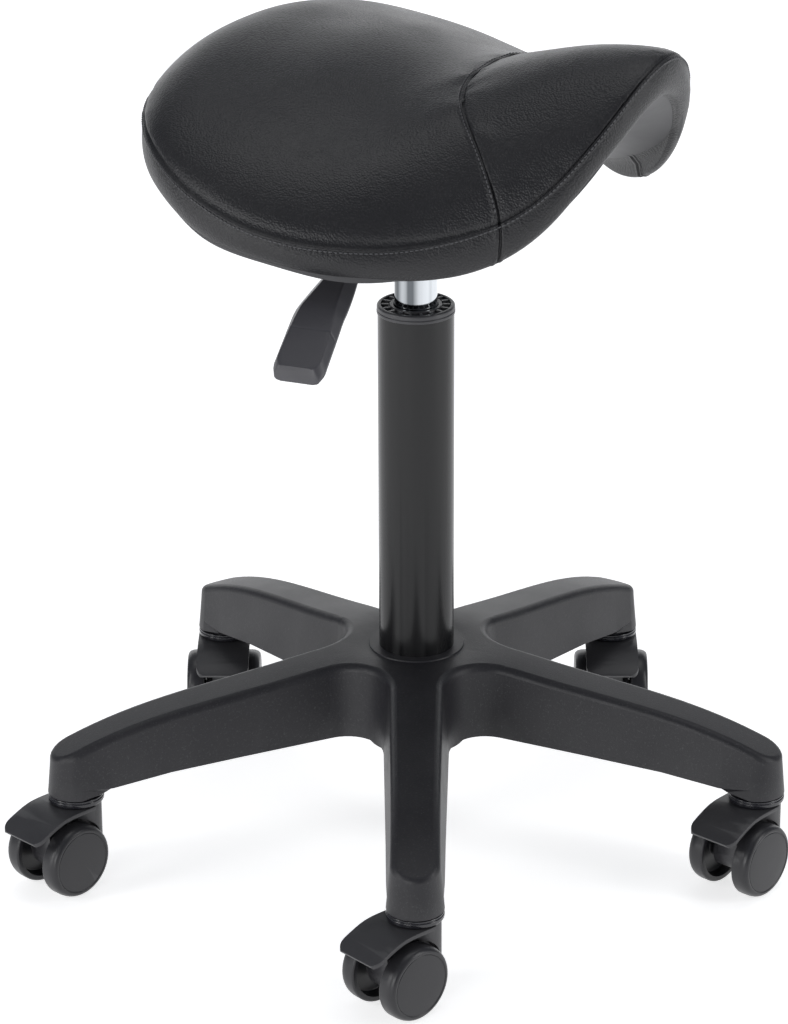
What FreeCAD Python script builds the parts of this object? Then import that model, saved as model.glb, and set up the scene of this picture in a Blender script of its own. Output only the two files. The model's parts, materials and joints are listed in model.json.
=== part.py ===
import FreeCAD, Part
import math
import os
import Sketcher
from FreeCAD import Placement, Rotation, Vector

# Saddle stool: a padded saddle seat on a gas lift column, in a five-legged base on twin-wheel
# casters. Frame: +Z up, origin on the floor under the column axis, one leg along -Y.
# The seat's nose is turned 30 degrees from +X towards -Y. Units are millimetres and degrees.

doc = FreeCAD.newDocument("saddle_stool")

# ---------------------------------------------------------------- driving dimensions
DIMENSIONS = (
    # alias, value, meaning
    ("leg_count", 5, "legs of the base"),
    ("stem_circle", 236.3, "radius at which the caster stems stand"),
    ("socket_base", 64, "height of the underside of each caster socket"),
    ("socket_radius", 18.5, "outer radius of each caster socket"),
    ("leg_root_half", 23.5, "half width of a leg at the hub, at socket height"),
    ("leg_draft", 5, "draft angle of the leg sides"),
    ("leg_blend", 25, "radius of the web between two legs"),
    ("leg_wall", 4, "wall thickness of the ribbed legs"),
    ("hub_top", 138, "height of the top of the hub"),
    ("hub_disc_radius", 31.5, "radius of the raised disc around the column"),
    ("hub_boss_radius", 33, "radius of the boss that holds the column"),
    ("hub_boss_base", 70, "height of the underside of that boss"),
    ("stem_hole_radius", 5.5, "radius of the caster stem sockets"),
    ("stem_hole_depth", 28, "depth of the caster stem sockets"),
    ("tube_radius", 25, "outer radius of the column tube"),
    ("tube_foot_radius", 23.4, "outer radius of the tube at its tapered foot"),
    ("tube_base", 66, "height of the foot of the tube"),
    ("tube_top", 373, "height of the top of the tube"),
    ("tube_wall", 1.6, "wall of the column tube"),
    ("tube_floor", 3, "thickness of the plate that closes the foot of the tube"),
    ("collar_top", 378.8, "height of the top of the guide bush collar"),
    ("collar_radius", 25.6, "radius of that collar"),
    ("bush_length", 70, "length of the guide bush inside the tube"),
    ("bush_radius", 23.3, "outer radius of the guide bush"),
    ("cylinder_radius", 14, "outer radius of the gas cylinder"),
    ("cylinder_bore", 12, "inner radius of the gas cylinder"),
    ("cylinder_base", 146, "height of the foot of the gas cylinder"),
    ("cylinder_top", 462, "height of the top of the gas cylinder"),
    ("cylinder_taper_top", 13, "radius at the top of the cylinder's tapered end"),
    ("socket_taper_base", 426, "height of the foot of the seat's taper socket"),
    ("socket_taper_top", 456, "height of the top of the seat's taper socket"),
    ("rod_radius", 5, "radius of the piston rod"),
    ("rod_top", 300, "height of the top of the piston"),
    ("fit_gap", 0.05, "radial clearance of a running fit"),
    ("button_radius", 4, "radius of the release button"),
    ("button_top", 465.5, "height of the top of the release button"),
    ("lever_axis_height", 470, "height of the lever's pivot and rod"),
    ("lever_pivot_reach", 30, "distance of the lever's pivot from the column axis"),
    ("lever_rod_radius", 4, "radius of the lever rod"),
    ("lever_heading", -110, "direction of the lever about +Z"),
    ("pivot_pin_radius", 2.5, "radius of the lever's pivot pin"),
    ("channel_base", 450, "height of the underside of the mechanism channel"),
    ("channel_half", 23, "half width of the mechanism channel"),
    ("channel_wall", 2.5, "wall of the mechanism channel"),
    ("plate_base", 479, "height of the underside of the seat plate"),
    ("plate_thickness", 3, "thickness of the seat plate"),
    ("plate_length", 150, "length of the seat plate, nose to tail"),
    ("plate_width", 110, "width of the seat plate"),
    ("bolt_pitch_length", 122, "bolt spacing along the plate"),
    ("bolt_pitch_width", 84, "bolt spacing across the plate"),
    ("bolt_radius", 4, "radius of the seat bolts"),
    ("seat_heading", -30, "direction of the seat's nose about +Z"),
    ("pan_thickness", 8, "thickness of the moulded seat pan"),
    ("seam_reach", 60, "distance of the cover's cross seam ahead of the column axis"),
    ("skin", 1.5, "thickness of the seat covers"),
    ("soft_gap", 0.3, "gap between one soft piece and the next"),
    ("wheel_radius", 25, "radius of a caster wheel"),
    ("wheel_inner", 13.5, "distance of a wheel's inner face from the caster's middle"),
    ("wheel_width", 13, "width of a caster wheel"),
    ("trail", 17.4, "distance of the axle behind the stem"),
    ("axle_radius", 3, "radius of the caster axle"),
    ("hood_width", 37, "width of the caster hood"),
    ("web_width", 16, "width of the caster body between its wheels"),
    ("boss_radius", 11.8, "radius of the boss round the axle"),
    ("boss_width", 24, "width of that boss"),
    ("housing_radius", 16.5, "radius of the caster body round its stem"),
    ("wheel_clearance", 1.8, "gap between a wheel's tread and the caster body over it"),
    ("neck_ring_radius", 18.5, "radius of the ring under the caster socket"),
    ("neck_ring_base", 58.4, "height of the underside of that ring"),
    ("neck_ring_thickness", 4.9, "thickness of that ring"),
    ("shank_radius", 5, "radius of the stem inside the caster body"),
    ("shank_base", 34, "height of the foot of the stem"),
)

sheet = doc.addObject("Spreadsheet::Sheet", "Dimensions")
for row, (alias, value, meaning) in enumerate(DIMENSIONS, start=1):
    sheet.set(f"A{row}", alias)
    sheet.set(f"B{row}", str(value))
    sheet.set(f"C{row}", meaning)
    sheet.setAlias(f"B{row}", alias)
doc.recompute()


def dim(alias):
    """A driving dimension, read from the sheet."""
    return float(sheet.get(alias))


# The heading of each caster about +Z, leg by leg, starting at the leg along -Y and turning
# towards +X. Casters trail freely, so each one stands its own way.
CASTER_NAMES = ("front", "right", "rear_right", "rear_left", "left")
CASTER_HEADINGS = (-137, -131, -90, -90, -134)

# Top line of a leg, from hub to tip: distance from the column axis, height.
LEG_TOP = ((34, 137.2), (66, 135.5), (89, 131.5), (118, 126.5), (155, 120.5), (194, 112.5),
           (229, 101.5), (264, 85))
# Underside of a leg, from hub to socket.
LEG_UNDERSIDE = ((34, 89), (65, 86.6), (129, 81), (177, 76.5), (216, 70.5))

# The seat in its own frame: x runs to the nose, y to the rider's left. Cross-sections, tail to
# nose: x, half width, top height, top curvature, bottom height, bottom curvature. A height falls
# off sideways as curvature / 1000 * y * y.
SEAT_STATIONS = (
    (-160, 36, 533, 1.5, 500, 0.0),
    (-150, 66, 541, 1.45, 499, 0.0),
    (-130, 114, 550, 1.4, 496, 0.05),
    (-112, 141, 554, 1.3, 492, 0.1),
    (-88, 162, 556, 1.25, 488, 0.15),
    (-48, 180, 554, 1.4, 484, 0.5),
    (0, 178, 548, 1.75, 484, 0.85),
    (43, 159, 549, 2.45, 485, 1.5),
    (77, 133, 556, 4.0, 490, 2.4),
    (109, 109, 566, 6.1, 503, 3.9),
    (143, 82, 573, 8.2, 521, 6.0),
    (166, 50, 576, 9.0, 538, 7.2),
    (175, 30, 577, 9.2, 546, 7.5),
)

finished = []


# ---------------------------------------------------------------- helpers
def body(label):
    """A new PartDesign body that is exported under its label."""
    made = doc.addObject("PartDesign::Body", label)
    made.Label = label
    finished.append(made)
    return made


def sketch(owner, name, role="XY_Plane", offset=0):
    """A sketch on one of the body's own origin planes, moved along the plane's normal."""
    made = owner.newObject("Sketcher::SketchObject", name)
    plane = [f for f in owner.Origin.OriginFeatures if f.Role == role][0]
    made.AttachmentSupport = [(plane, "")]
    made.MapMode = "FlatFace"
    made.AttachmentOffset = Placement(Vector(0, 0, offset), Rotation())
    return made


def polygon(drawing, points):
    """A closed outline of straight lines."""
    ends = [Vector(*p, 0) for p in points]
    for start, end in zip(ends, ends[1:] + ends[:1]):
        drawing.addGeometry(Part.LineSegment(start, end), False)


def circle(drawing, x, y, alias, gap=""):
    """A circle whose radius is bound to the sheet."""
    made = drawing.addGeometry(Part.Circle(Vector(x, y, 0), Vector(0, 0, 1), dim(alias)), False)
    rule = drawing.addConstraint(Sketcher.Constraint("Radius", made, dim(alias)))
    drawing.setExpression(f"Constraints[{rule}]", f"Dimensions.{alias}{gap}")


def turned(label, points):
    """A body revolved about the column axis from a half profile of (radius, height) points."""
    made = body(label)
    profile = sketch(made, label + "_profile", "XZ_Plane")
    polygon(profile, points)
    turn = made.newObject("PartDesign::Revolution", label + "_turn")
    turn.Profile = profile
    turn.ReferenceAxis = (profile, ["V_Axis"])
    turn.Angle = 360
    return made


def pad(owner, profile, name, length, both_ways=False):
    """A pad; its length is a number or an expression on the sheet."""
    made = owner.newObject("PartDesign::Pad", name)
    made.Profile = profile
    if both_ways:
        made.SideType = "Symmetric"
    if isinstance(length, str):
        made.setExpression("Length", length)
    else:
        made.Length = length
    return made


def pocket(owner, profile, name, length, reverse=False, both_ways=False):
    """A pocket; its length is a number or an expression on the sheet."""
    made = owner.newObject("PartDesign::Pocket", name)
    made.Profile = profile
    made.Reversed = reverse
    if both_ways:
        made.SideType = "Symmetric"
    if isinstance(length, str):
        made.setExpression("Length", length)
    else:
        made.Length = length
    return made


def cylinder(label, radius, base, height):
    """An upright cylinder on the column axis, each size an expression on the sheet."""
    made = doc.addObject("Part::Cylinder", label)
    made.Label = label
    made.setExpression("Radius", radius)
    made.setExpression("Placement.Base.z", base)
    made.setExpression("Height", height)
    return made


def cone(label, low_radius, high_radius, base, height):
    """An upright cone frustum on the column axis, each size an expression on the sheet."""
    made = doc.addObject("Part::Cone", label)
    made.Label = label
    made.setExpression("Radius1", low_radius)
    made.setExpression("Radius2", high_radius)
    made.setExpression("Placement.Base.z", base)
    made.setExpression("Height", height)
    return made


def combine(kind, label, base, tool, export=False):
    """A boolean of two objects: kind is Cut, Fuse or Common."""
    made = doc.addObject("Part::" + kind, label)
    made.Label = label
    made.Base = base
    made.Tool = tool
    if export:
        finished.append(made)
    return made


def feature(label, shape, place=None):
    """A free-form sub-part with a shape of its own."""
    made = doc.addObject("Part::Feature", label)
    made.Label = label
    made.Shape = shape
    if place:
        made.Placement = place
    finished.append(made)
    return made


def heading(angle, x=0, y=0):
    """A placement turned about +Z, then moved."""
    return Placement(Vector(x, y, 0), Rotation(Vector(0, 0, 1), angle))


# ---------------------------------------------------------------- base star
def spline(points):
    """A smooth curve through points of a sketch plane."""
    curve = Part.BSplineCurve()
    curve.interpolate([Vector(*p, 0) for p in points])
    return curve


def star_outline(drawing):
    """Plan of the whole star: round tips, tapering legs and round webs between the legs."""
    count = int(dim("leg_count"))
    step = 2 * math.pi / count
    reach, tip, root = dim("stem_circle"), dim("socket_radius"), dim("leg_root_half")
    blend = dim("leg_blend")
    web_centre = (root + blend) / math.sin(step / 2)
    web_along = web_centre * math.cos(step / 2)

    def place(along, across, leg):
        angle = -math.pi / 2 + leg * step
        return Vector(along * math.cos(angle) - across * math.sin(angle),
                      along * math.sin(angle) + across * math.cos(angle), 0)

    for leg in range(count):
        drawing.addGeometry(Part.LineSegment(place(web_along, -root, leg),
                                             place(reach, -tip, leg)), False)
        drawing.addGeometry(Part.Arc(place(reach, -tip, leg), place(reach + tip, 0, leg),
                                     place(reach, tip, leg)), False)
        drawing.addGeometry(Part.LineSegment(place(reach, tip, leg),
                                             place(web_along, root, leg)), False)
        middle = -math.pi / 2 + (leg + 0.5) * step
        near = (web_centre - blend)
        drawing.addGeometry(Part.Arc(place(web_along, root, leg),
                                     Vector(near * math.cos(middle), near * math.sin(middle), 0),
                                     place(web_along, -root, leg + 1)), False)


def leg_height(line, distance):
    """Height of a leg line at a distance from the column axis."""
    for (near, low), (far, high) in zip(line, line[1:]):
        if distance <= far:
            return low + (high - low) * (distance - near) / (far - near)
    return line[-1][1]


def base_star():
    """The nylon base: drafted, round-edged legs with an open, ribbed underside."""
    owner = doc.addObject("PartDesign::Body", "star_blank")
    plan = sketch(owner, "star_plan", "XY_Plane", dim("socket_base"))
    star_outline(plan)
    blank = pad(owner, plan, "star_pad", "Dimensions.hub_top - Dimensions.socket_base + 2")
    doc.recompute()
    faces = list(enumerate(blank.Shape.Faces, start=1))
    lean = owner.newObject("PartDesign::Draft", "star_draft")
    lean.Base = (blank, [f"Face{n}" for n, face in faces if abs(face.normalAt(0, 0).z) < 0.5])
    lean.NeutralPlane = (blank, [f"Face{n}" for n, face in faces
                                 if face.CenterOfMass.z < dim("socket_base") + 1])
    lean.setExpression("Angle", "Dimensions.leg_draft")

    top = sketch(owner, "star_top", "YZ_Plane")
    high = dim("hub_top") + 20
    disc = dim("hub_disc_radius")
    top.addGeometry(spline(LEG_TOP), False)
    ends = [Vector(LEG_TOP[-1][0], LEG_TOP[-1][1], 0), Vector(LEG_TOP[-1][0], high, 0),
            Vector(0, high, 0), Vector(0, dim("hub_top"), 0), Vector(disc, dim("hub_top"), 0),
            Vector(LEG_TOP[0][0] - 2, LEG_TOP[0][1], 0), Vector(LEG_TOP[0][0], LEG_TOP[0][1], 0)]
    for start, end in zip(ends, ends[1:]):
        top.addGeometry(Part.LineSegment(start, end), False)
    trim = owner.newObject("PartDesign::Groove", "star_top_groove")
    trim.Profile = top
    trim.ReferenceAxis = (top, ["V_Axis"])
    trim.Angle = 360
    doc.recompute()

    # Round the long top edges of the legs, where the sloping top meets the drafted sides.
    names = []
    for number, edge in enumerate(trim.Shape.Edges, start=1):
        middle = edge.valueAt((edge.FirstParameter + edge.LastParameter) / 2)
        distance = math.hypot(middle.x, middle.y)
        if distance > disc + 8 and abs(middle.z - leg_height(LEG_TOP, distance)) < 1.0:
            names.append(f"Edge{number}")
    rounding = owner.newObject("PartDesign::Fillet", "star_edges")
    rounding.Base = (trim, names)
    rounding.Radius = 5
    doc.recompute()
    return owner



def hollow_legs(blank):
    """Cut the arched underside, the rib cells, the stem sockets and the column's taper."""
    count = int(dim("leg_count"))
    base, reach = dim("socket_base"), dim("stem_circle")
    low = base - 4
    boss, boss_base = dim("hub_boss_radius"), dim("hub_boss_base")
    tip = dim("socket_radius")

    # The arch: everything under the legs between the hub boss and the caster sockets.
    arch = turned("leg_arch", [(boss, low), (boss, LEG_UNDERSIDE[0][1]), *LEG_UNDERSIDE[1:],
                               (reach - tip, LEG_UNDERSIDE[-1][1]), (reach - tip, low)])
    under_hub = cylinder("under_hub", "Dimensions.hub_boss_radius + 1",
                         "Dimensions.socket_base - 1",
                         "Dimensions.hub_boss_base - Dimensions.socket_base + 1")
    cuts = [arch, under_hub]

    # Cells between the ribs, each one roofed by the leg's sloping top.
    wall = dim("leg_wall")
    roof = turned("cell_roof", [(boss + 3, low - 1), *[(d, z - wall) for d, z in LEG_TOP],
                                (LEG_TOP[-1][0], low - 1)])
    cells = doc.addObject("PartDesign::Body", "cells")
    plan = sketch(cells, "cell_plan", "XY_Plane", low)
    marks = (boss + 5, 72, 108, 144, 180, reach - tip - 3)
    rib = 3
    for leg in range(count):
        angle = math.radians(-90) + leg * 2 * math.pi / count
        for near, far in zip(marks, marks[1:]):
            corners = []
            for along, side in ((near, 1), (far - rib, 1), (far - rib, -1), (near, -1)):
                share = along / reach
                half = dim("leg_root_half") * (1 - share) + tip * share - wall - 4
                across = side * half
                corners.append((along * math.cos(angle) - across * math.sin(angle),
                                along * math.sin(angle) + across * math.cos(angle)))
            polygon(plan, corners)
    pad(cells, plan, "cell_pad", 90)
    finished.remove(arch)
    finished.remove(roof)
    cuts.append(combine("Common", "rib_cells", cells, roof))

    # Stem sockets and the tapered hole for the column.
    sockets = doc.addObject("PartDesign::Body", "sockets")
    plan = sketch(sockets, "socket_plan", "XY_Plane", base - 1)
    for leg in range(count):
        angle = math.radians(-90) + leg * 2 * math.pi / count
        circle(plan, reach * math.cos(angle), reach * math.sin(angle), "stem_hole_radius")
    pad(sockets, plan, "socket_pad", "Dimensions.stem_hole_depth + 1")
    cuts.append(sockets)
    cuts.append(cone("column_taper", "Dimensions.tube_foot_radius", "Dimensions.tube_radius",
                     "Dimensions.tube_base", "Dimensions.hub_top + 1 - Dimensions.tube_base"))

    tool = doc.addObject("Part::MultiFuse", "base_cuts")
    tool.Shapes = cuts
    return combine("Cut", "base_star", blank, tool, export=True)


hollow_legs(base_star())


# ---------------------------------------------------------------- column and gas lift
def column():
    """The painted tube, tapered where it sits in the hub, closed by a plate at its foot."""
    wall = "Dimensions.tube_wall"
    foot = cone("tube_foot", "Dimensions.tube_foot_radius", "Dimensions.tube_radius",
                "Dimensions.tube_base", "Dimensions.hub_top + 1 - Dimensions.tube_base")
    shaft = cylinder("tube_shaft", "Dimensions.tube_radius", "Dimensions.hub_top",
                     "Dimensions.tube_top - Dimensions.hub_top")
    inner = cylinder("tube_inner", f"Dimensions.tube_foot_radius - {wall}",
                     "Dimensions.tube_base + Dimensions.tube_floor", "Dimensions.tube_top")
    hole = cylinder("tube_floor_hole", "Dimensions.rod_radius + Dimensions.fit_gap",
                    "Dimensions.tube_base - 1", "10")
    upper = cylinder("tube_upper_inner", f"Dimensions.tube_radius - {wall}",
                     "Dimensions.hub_top + 2", "Dimensions.tube_top")
    outside = combine("Fuse", "tube_outside", foot, shaft)
    inside = doc.addObject("Part::MultiFuse", "tube_inside")
    inside.Shapes = [inner, hole, upper]
    combine("Cut", "column_tube", outside, inside, export=True)

    # Plastic guide bush: a sleeve inside the tube under a round-lipped collar.
    top, collar = dim("collar_top"), dim("collar_radius")
    slide = dim("cylinder_radius") + dim("fit_gap")
    tube_top, sleeve = dim("tube_top"), dim("bush_radius")
    bush = turned("guide_bush", [
        (slide, tube_top - dim("bush_length")), (sleeve, tube_top - dim("bush_length")),
        (sleeve, tube_top), (collar, tube_top), (collar, top - 2), (collar - 2, top),
        (slide + 1, top), (slide, top - 1)])
    slots = sketch(bush, "bush_slots", "XY_Plane", top)
    for index in range(6):
        angle = index * math.pi / 3
        across = Vector(-math.sin(angle), math.cos(angle), 0) * 0.8
        near, far = (Vector(math.cos(angle), math.sin(angle), 0) * reach for reach in (17, 21.5))
        ring = [near - across, far - across, far + across, near + across]
        polygon(slots, [(p.x, p.y) for p in ring])
    pocket(bush, slots, "bush_slot_cut", 1.2)


def gas_lift():
    """Rod, bearing and clip at the foot of the tube; the cylinder that slides on the rod."""
    floor_top = dim("tube_base") + dim("tube_floor")
    rod, gap = dim("rod_radius"), dim("fit_gap")
    foot = dim("tube_base") - 3.4

    # Piston rod with a clip groove at its foot and the piston on its top.
    turned("piston_rod", [
        (0, foot), (rod, foot), (rod, foot + 1), (rod - 1, foot + 1), (rod - 1, foot + 3),
        (rod, foot + 3), (rod, dim("rod_top") - 12),
        (dim("cylinder_bore") - gap, dim("rod_top") - 12),
        (dim("cylinder_bore") - gap, dim("rod_top")), (0, dim("rod_top"))])
    turned("retaining_clip", [(rod - 1, foot + 1.1), (9, foot + 1.1), (9, foot + 2.9),
                              (rod - 1, foot + 2.9)])
    turned("lower_washer", [(rod + gap, floor_top), (12, floor_top), (12, floor_top + 2),
                            (rod + gap, floor_top + 2)])
    turned("thrust_bearing", [(rod, floor_top + 2.05), (11.5, floor_top + 2.05),
                              (11.5, floor_top + 6), (rod, floor_top + 6)])
    turned("upper_washer", [(rod, floor_top + 6), (12, floor_top + 6), (12, floor_top + 8),
                            (rod, floor_top + 8)])
    turned("rubber_buffer", [(rod, floor_top + 8), (10.5, floor_top + 8),
                             (9.5, floor_top + 22), (rod, floor_top + 22)])

    # Chrome gas cylinder: straight below, tapered where it wedges into the seat.
    low, top = dim("cylinder_base"), dim("cylinder_top")
    outer, bore = dim("cylinder_radius"), dim("cylinder_bore")
    taper = dim("socket_taper_base")
    button = dim("button_radius") + gap
    turned("gas_cylinder", [
        (bore, low), (outer, low), (outer, taper), (dim("cylinder_taper_top"), top - 1),
        (dim("cylinder_taper_top") - 1, top), (button, top), (button, top - 12),
        (bore - 1, top - 12), (bore - 1, taper - 20), (bore, taper - 21)])
    turned("cylinder_seal", [(rod + gap, low), (bore, low), (bore, low + 18),
                             (rod + gap, low + 18)])
    turned("release_button", [(0, top - 11), (dim("button_radius"), top - 11),
                              (dim("button_radius"), dim("button_top") - 0.8),
                              (dim("button_radius") - 0.8, dim("button_top")),
                              (0, dim("button_top"))])


column()
gas_lift()


# ---------------------------------------------------------------- seat mechanism and lever
def mechanism():
    """Taper socket, channel, plate, bolts and nuts that carry the seat."""
    turn = heading(dim("lever_heading"))
    low, top = dim("socket_taper_base"), dim("socket_taper_top")
    outer, narrow = dim("cylinder_radius"), dim("cylinder_taper_top")
    share = (top - low) / (dim("cylinder_top") - 1 - low)
    at_top = outer + (narrow - outer) * share
    turned("taper_socket", [(outer, low), (outer + 4.5, low), (outer + 5.5, low + 3),
                            (outer + 5.5, top), (at_top, top)])

    # Channel of pressed steel, open at the top and at its outer end, where the lever leaves.
    half, wall = dim("channel_half"), dim("channel_wall")
    base, plate = dim("channel_base"), dim("plate_base")
    channel = body("mechanism_channel")
    section = sketch(channel, "channel_section", "YZ_Plane", -38)
    polygon(section, [(-half, base), (half, base), (half, plate), (half - wall, plate),
                      (half - wall, base + wall), (wall - half, base + wall),
                      (wall - half, plate), (-half, plate)])
    pad(channel, section, "channel_pad", 98)
    hole = sketch(channel, "channel_hole", "XY_Plane", base - 1)
    circle(hole, 0, 0, "cylinder_radius", " + 5.5")
    pocket(channel, hole, "channel_hole_cut", wall + 2, reverse=True)
    pin = sketch(channel, "pin_holes", "XZ_Plane")
    circle(pin, dim("lever_pivot_reach"), dim("lever_axis_height"), "pivot_pin_radius")
    pocket(channel, pin, "pin_hole_cut", 60, both_ways=True)
    channel.Placement = turn

    pivot = body("lever_pivot_pin")
    round_pin = sketch(pivot, "pivot_section", "XZ_Plane")
    circle(round_pin, dim("lever_pivot_reach"), dim("lever_axis_height"), "pivot_pin_radius")
    pad(pivot, round_pin, "pivot_pad", "Dimensions.channel_half * 2 + 4", both_ways=True)
    pivot.Placement = turn

    # Seat plate: bolted to the pan above it, welded to the channel below it.
    seat = heading(dim("seat_heading"))
    plate_body = body("seat_plate")
    outline = sketch(plate_body, "plate_outline", "XY_Plane", plate)
    length, width = dim("plate_length") / 2, dim("plate_width") / 2
    cut = 14
    polygon(outline, [(-length, cut - width), (cut - length, -width), (length - cut, -width),
                      (length, cut - width), (length, width - cut), (length - cut, width),
                      (cut - length, width), (-length, width - cut)])
    pad(plate_body, outline, "plate_pad", "Dimensions.plate_thickness")
    holes = sketch(plate_body, "plate_holes", "XY_Plane", plate - 1)
    pitch = (dim("bolt_pitch_length") / 2, dim("bolt_pitch_width") / 2)
    corners = [(sx * pitch[0], sy * pitch[1]) for sx in (-1, 1) for sy in (-1, 1)]
    for x, y in corners:
        circle(holes, x, y, "bolt_radius")
    pocket(plate_body, holes, "plate_hole_cut", 10, reverse=True)
    plate_body.Placement = seat

    # Four bolts under the plate, four nuts sunk in the pan above it.
    bolts = []
    nuts = []
    pan_top = dim("plate_base") + dim("plate_thickness") + dim("pan_thickness")
    for x, y in corners:
        head = Part.makeCylinder(7, 5, Vector(x, y, plate - 5))
        shank = Part.makeCylinder(dim("bolt_radius"), pan_top - plate + 2, Vector(x, y, plate))
        socket = Part.makeCylinder(3, 3, Vector(x, y, plate - 5))
        bolts.append(head.fuse(shank).cut(socket))
        nut = Part.makeCylinder(9, 1.6, Vector(x, y, pan_top + dim("soft_gap")))
        nuts.append(nut.cut(Part.makeCylinder(dim("bolt_radius"), 10, Vector(x, y, pan_top - 2))))
    feature("seat_bolts", Part.makeCompound(bolts), seat)
    feature("seat_nuts", Part.makeCompound(nuts), seat)
    return corners


def lever():
    """Bent steel rod that presses the release button, and the flared plastic paddle."""
    turn = heading(dim("lever_heading"))
    axis, radius = dim("lever_axis_height"), dim("lever_rod_radius")
    bend, tip = Vector(54, 0, axis), Vector(152, 0, axis - 40)
    start = Vector(-6, 0, axis)
    away = (tip - bend).normalize()
    turned_by = math.acos(away.x)
    bend_radius = 24
    back = bend_radius * math.tan(turned_by / 2)
    first, last = bend - Vector(back, 0, 0), bend + away * back
    centre = first - Vector(0, 0, bend_radius)
    middle = centre + Vector(math.sin(turned_by / 2), 0, math.cos(turned_by / 2)) * bend_radius
    path = Part.Wire([Part.LineSegment(start, first).toShape(),
                      Part.Arc(first, middle, last).toShape(),
                      Part.LineSegment(last, tip).toShape()])
    ring = Part.Wire(Part.Circle(start, Vector(1, 0, 0), radius).toShape())
    rod = path.makePipeShell([ring], True, False)
    bore = Part.makeCylinder(dim("pivot_pin_radius") + dim("fit_gap"), 4 * radius,
                             Vector(dim("lever_pivot_reach"), 2 * radius, axis), Vector(0, -1, 0))
    feature("lever_rod", rod.cut(bore), turn)

    # The paddle slopes down and away, gently to its knee and then more steeply.
    paddle = body("lever_paddle")
    side = sketch(paddle, "paddle_side", "XZ_Plane")
    polygon(side, [(108, 451), (160, 433.5), (166, 430), (204, 404), (206, 400), (203, 396),
                   (197, 397), (162, 421), (152, 424.5), (108, 439.5)])
    pad(paddle, side, "paddle_pad", 34, both_ways=True)
    plan = sketch(paddle, "paddle_plan", "XY_Plane", 380)
    edge = ((104, 7), (134, 8), (150, 11), (168, 14.6), (195, 14), (206.5, 10))
    margin = 24
    for way in (1, -1):
        inner = [(along, way * half) for along, half in edge]
        polygon(plan, inner + [(210, way * 10), (210, way * margin), (100, way * margin),
                               (100, way * 7)])
    pocket(paddle, plan, "paddle_trim", 120, reverse=True)
    hole = doc.addObject("Part::Feature", "paddle_rod_hole")
    hole.Shape = path.makePipeShell([ring], True, False)
    finished.remove(paddle)
    paddle.Label = "paddle_blank"
    made = combine("Cut", "lever_paddle", paddle, hole, export=True)
    made.Placement = turn


seat_bolts_at = mechanism()
lever()


# ---------------------------------------------------------------- seat
def arch(x, half, height, curve):
    """A smooth arch across the seat, from right to left."""
    line = Part.BSplineCurve()
    line.interpolate([Vector(x, half * f, height - curve / 1000 * (half * f) ** 2)
                      for f in (-1, -0.5, 0, 0.5, 1)])
    return line


def drawn_in(inset):
    """The seat's stations with the outline drawn in on every side."""
    tail, nose = SEAT_STATIONS[0][0] + inset, SEAT_STATIONS[-1][0] - inset
    inner = []
    for x, half, *heights in SEAT_STATIONS:
        inner.append((min(max(x, tail), nose), half - inset, *heights))
    return inner


def saddle(inset, top_drop, thickness=None, bottom_rise=0):
    """A closed saddle-shaped solid, drawn in from the seat's outline.

    Its top lies top_drop under the seat's top. Its underside is a parallel arch at the given
    thickness, or else the seat's underside raised by bottom_rise.
    """
    sections = []
    for x, half, top, top_curve, low, low_curve in drawn_in(inset):
        if thickness is not None:
            low, low_curve = top - top_drop - thickness, top_curve
        else:
            low = low + bottom_rise
        over = arch(x, half, top - top_drop, top_curve).toShape()
        under = arch(x, half, low, low_curve).toShape()
        ends = [over.Vertexes[0].Point, over.Vertexes[-1].Point,
                under.Vertexes[0].Point, under.Vertexes[-1].Point]
        sections.append(Part.Wire([over, Part.LineSegment(ends[1], ends[3]).toShape(), under,
                                   Part.LineSegment(ends[2], ends[0]).toShape()]))
    return Part.makeLoft(sections, True, False)


def seat():
    """Moulded pan, foam, side band and the two panels of the cover."""
    place = heading(dim("seat_heading"))
    skin, gap = dim("skin"), dim("soft_gap")
    thick = dim("pan_thickness")

    cover = saddle(0, 0, skin)
    seam = dim("seam_reach")
    front = Part.makeBox(400, 500, 400, Vector(seam + gap, -250, 300))
    rear = Part.makeBox(400, 500, 400, Vector(seam - 400, -250, 300))
    feature("cover_rear", cover.common(rear), place)
    feature("cover_front", cover.common(front), place)
    feature("side_band", saddle(0, skin + gap).cut(saddle(skin, -60, None, -60)), place)

    # The pan has a flat boss that takes the seat plate.
    pan = saddle(2 * skin, 0).cut(saddle(-skin, -60, None, thick))
    boss_low = dim("plate_base") + dim("plate_thickness")
    length, width = dim("plate_length") + 8, dim("plate_width") + 8
    corner = Vector(-length / 2, -width / 2, boss_low)
    pan = pan.fuse(Part.makeBox(length, width, thick, corner))
    pan = pan.cut(Part.makeBox(length, width, 60, corner - Vector(0, 0, 60)))

    clear = 3 * gap
    foam = saddle(2 * skin, skin + gap, None, thick + clear)
    foam = foam.cut(Part.makeBox(length + 1, width + 1, thick + clear,
                                 corner - Vector(0.5, 0.5, 0)))
    for x, y in seat_bolts_at:
        pan = pan.cut(Part.makeCylinder(dim("bolt_radius"), 40, Vector(x, y, boss_low - 5)))
        pan = pan.cut(Part.makeCylinder(9.5, 20, Vector(x, y, boss_low + thick)))
        foam = foam.cut(Part.makeCylinder(10, thick + 4, Vector(x, y, boss_low)))
    feature("seat_pan", pan, place)
    feature("seat_foam", foam, place)


seat()


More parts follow.
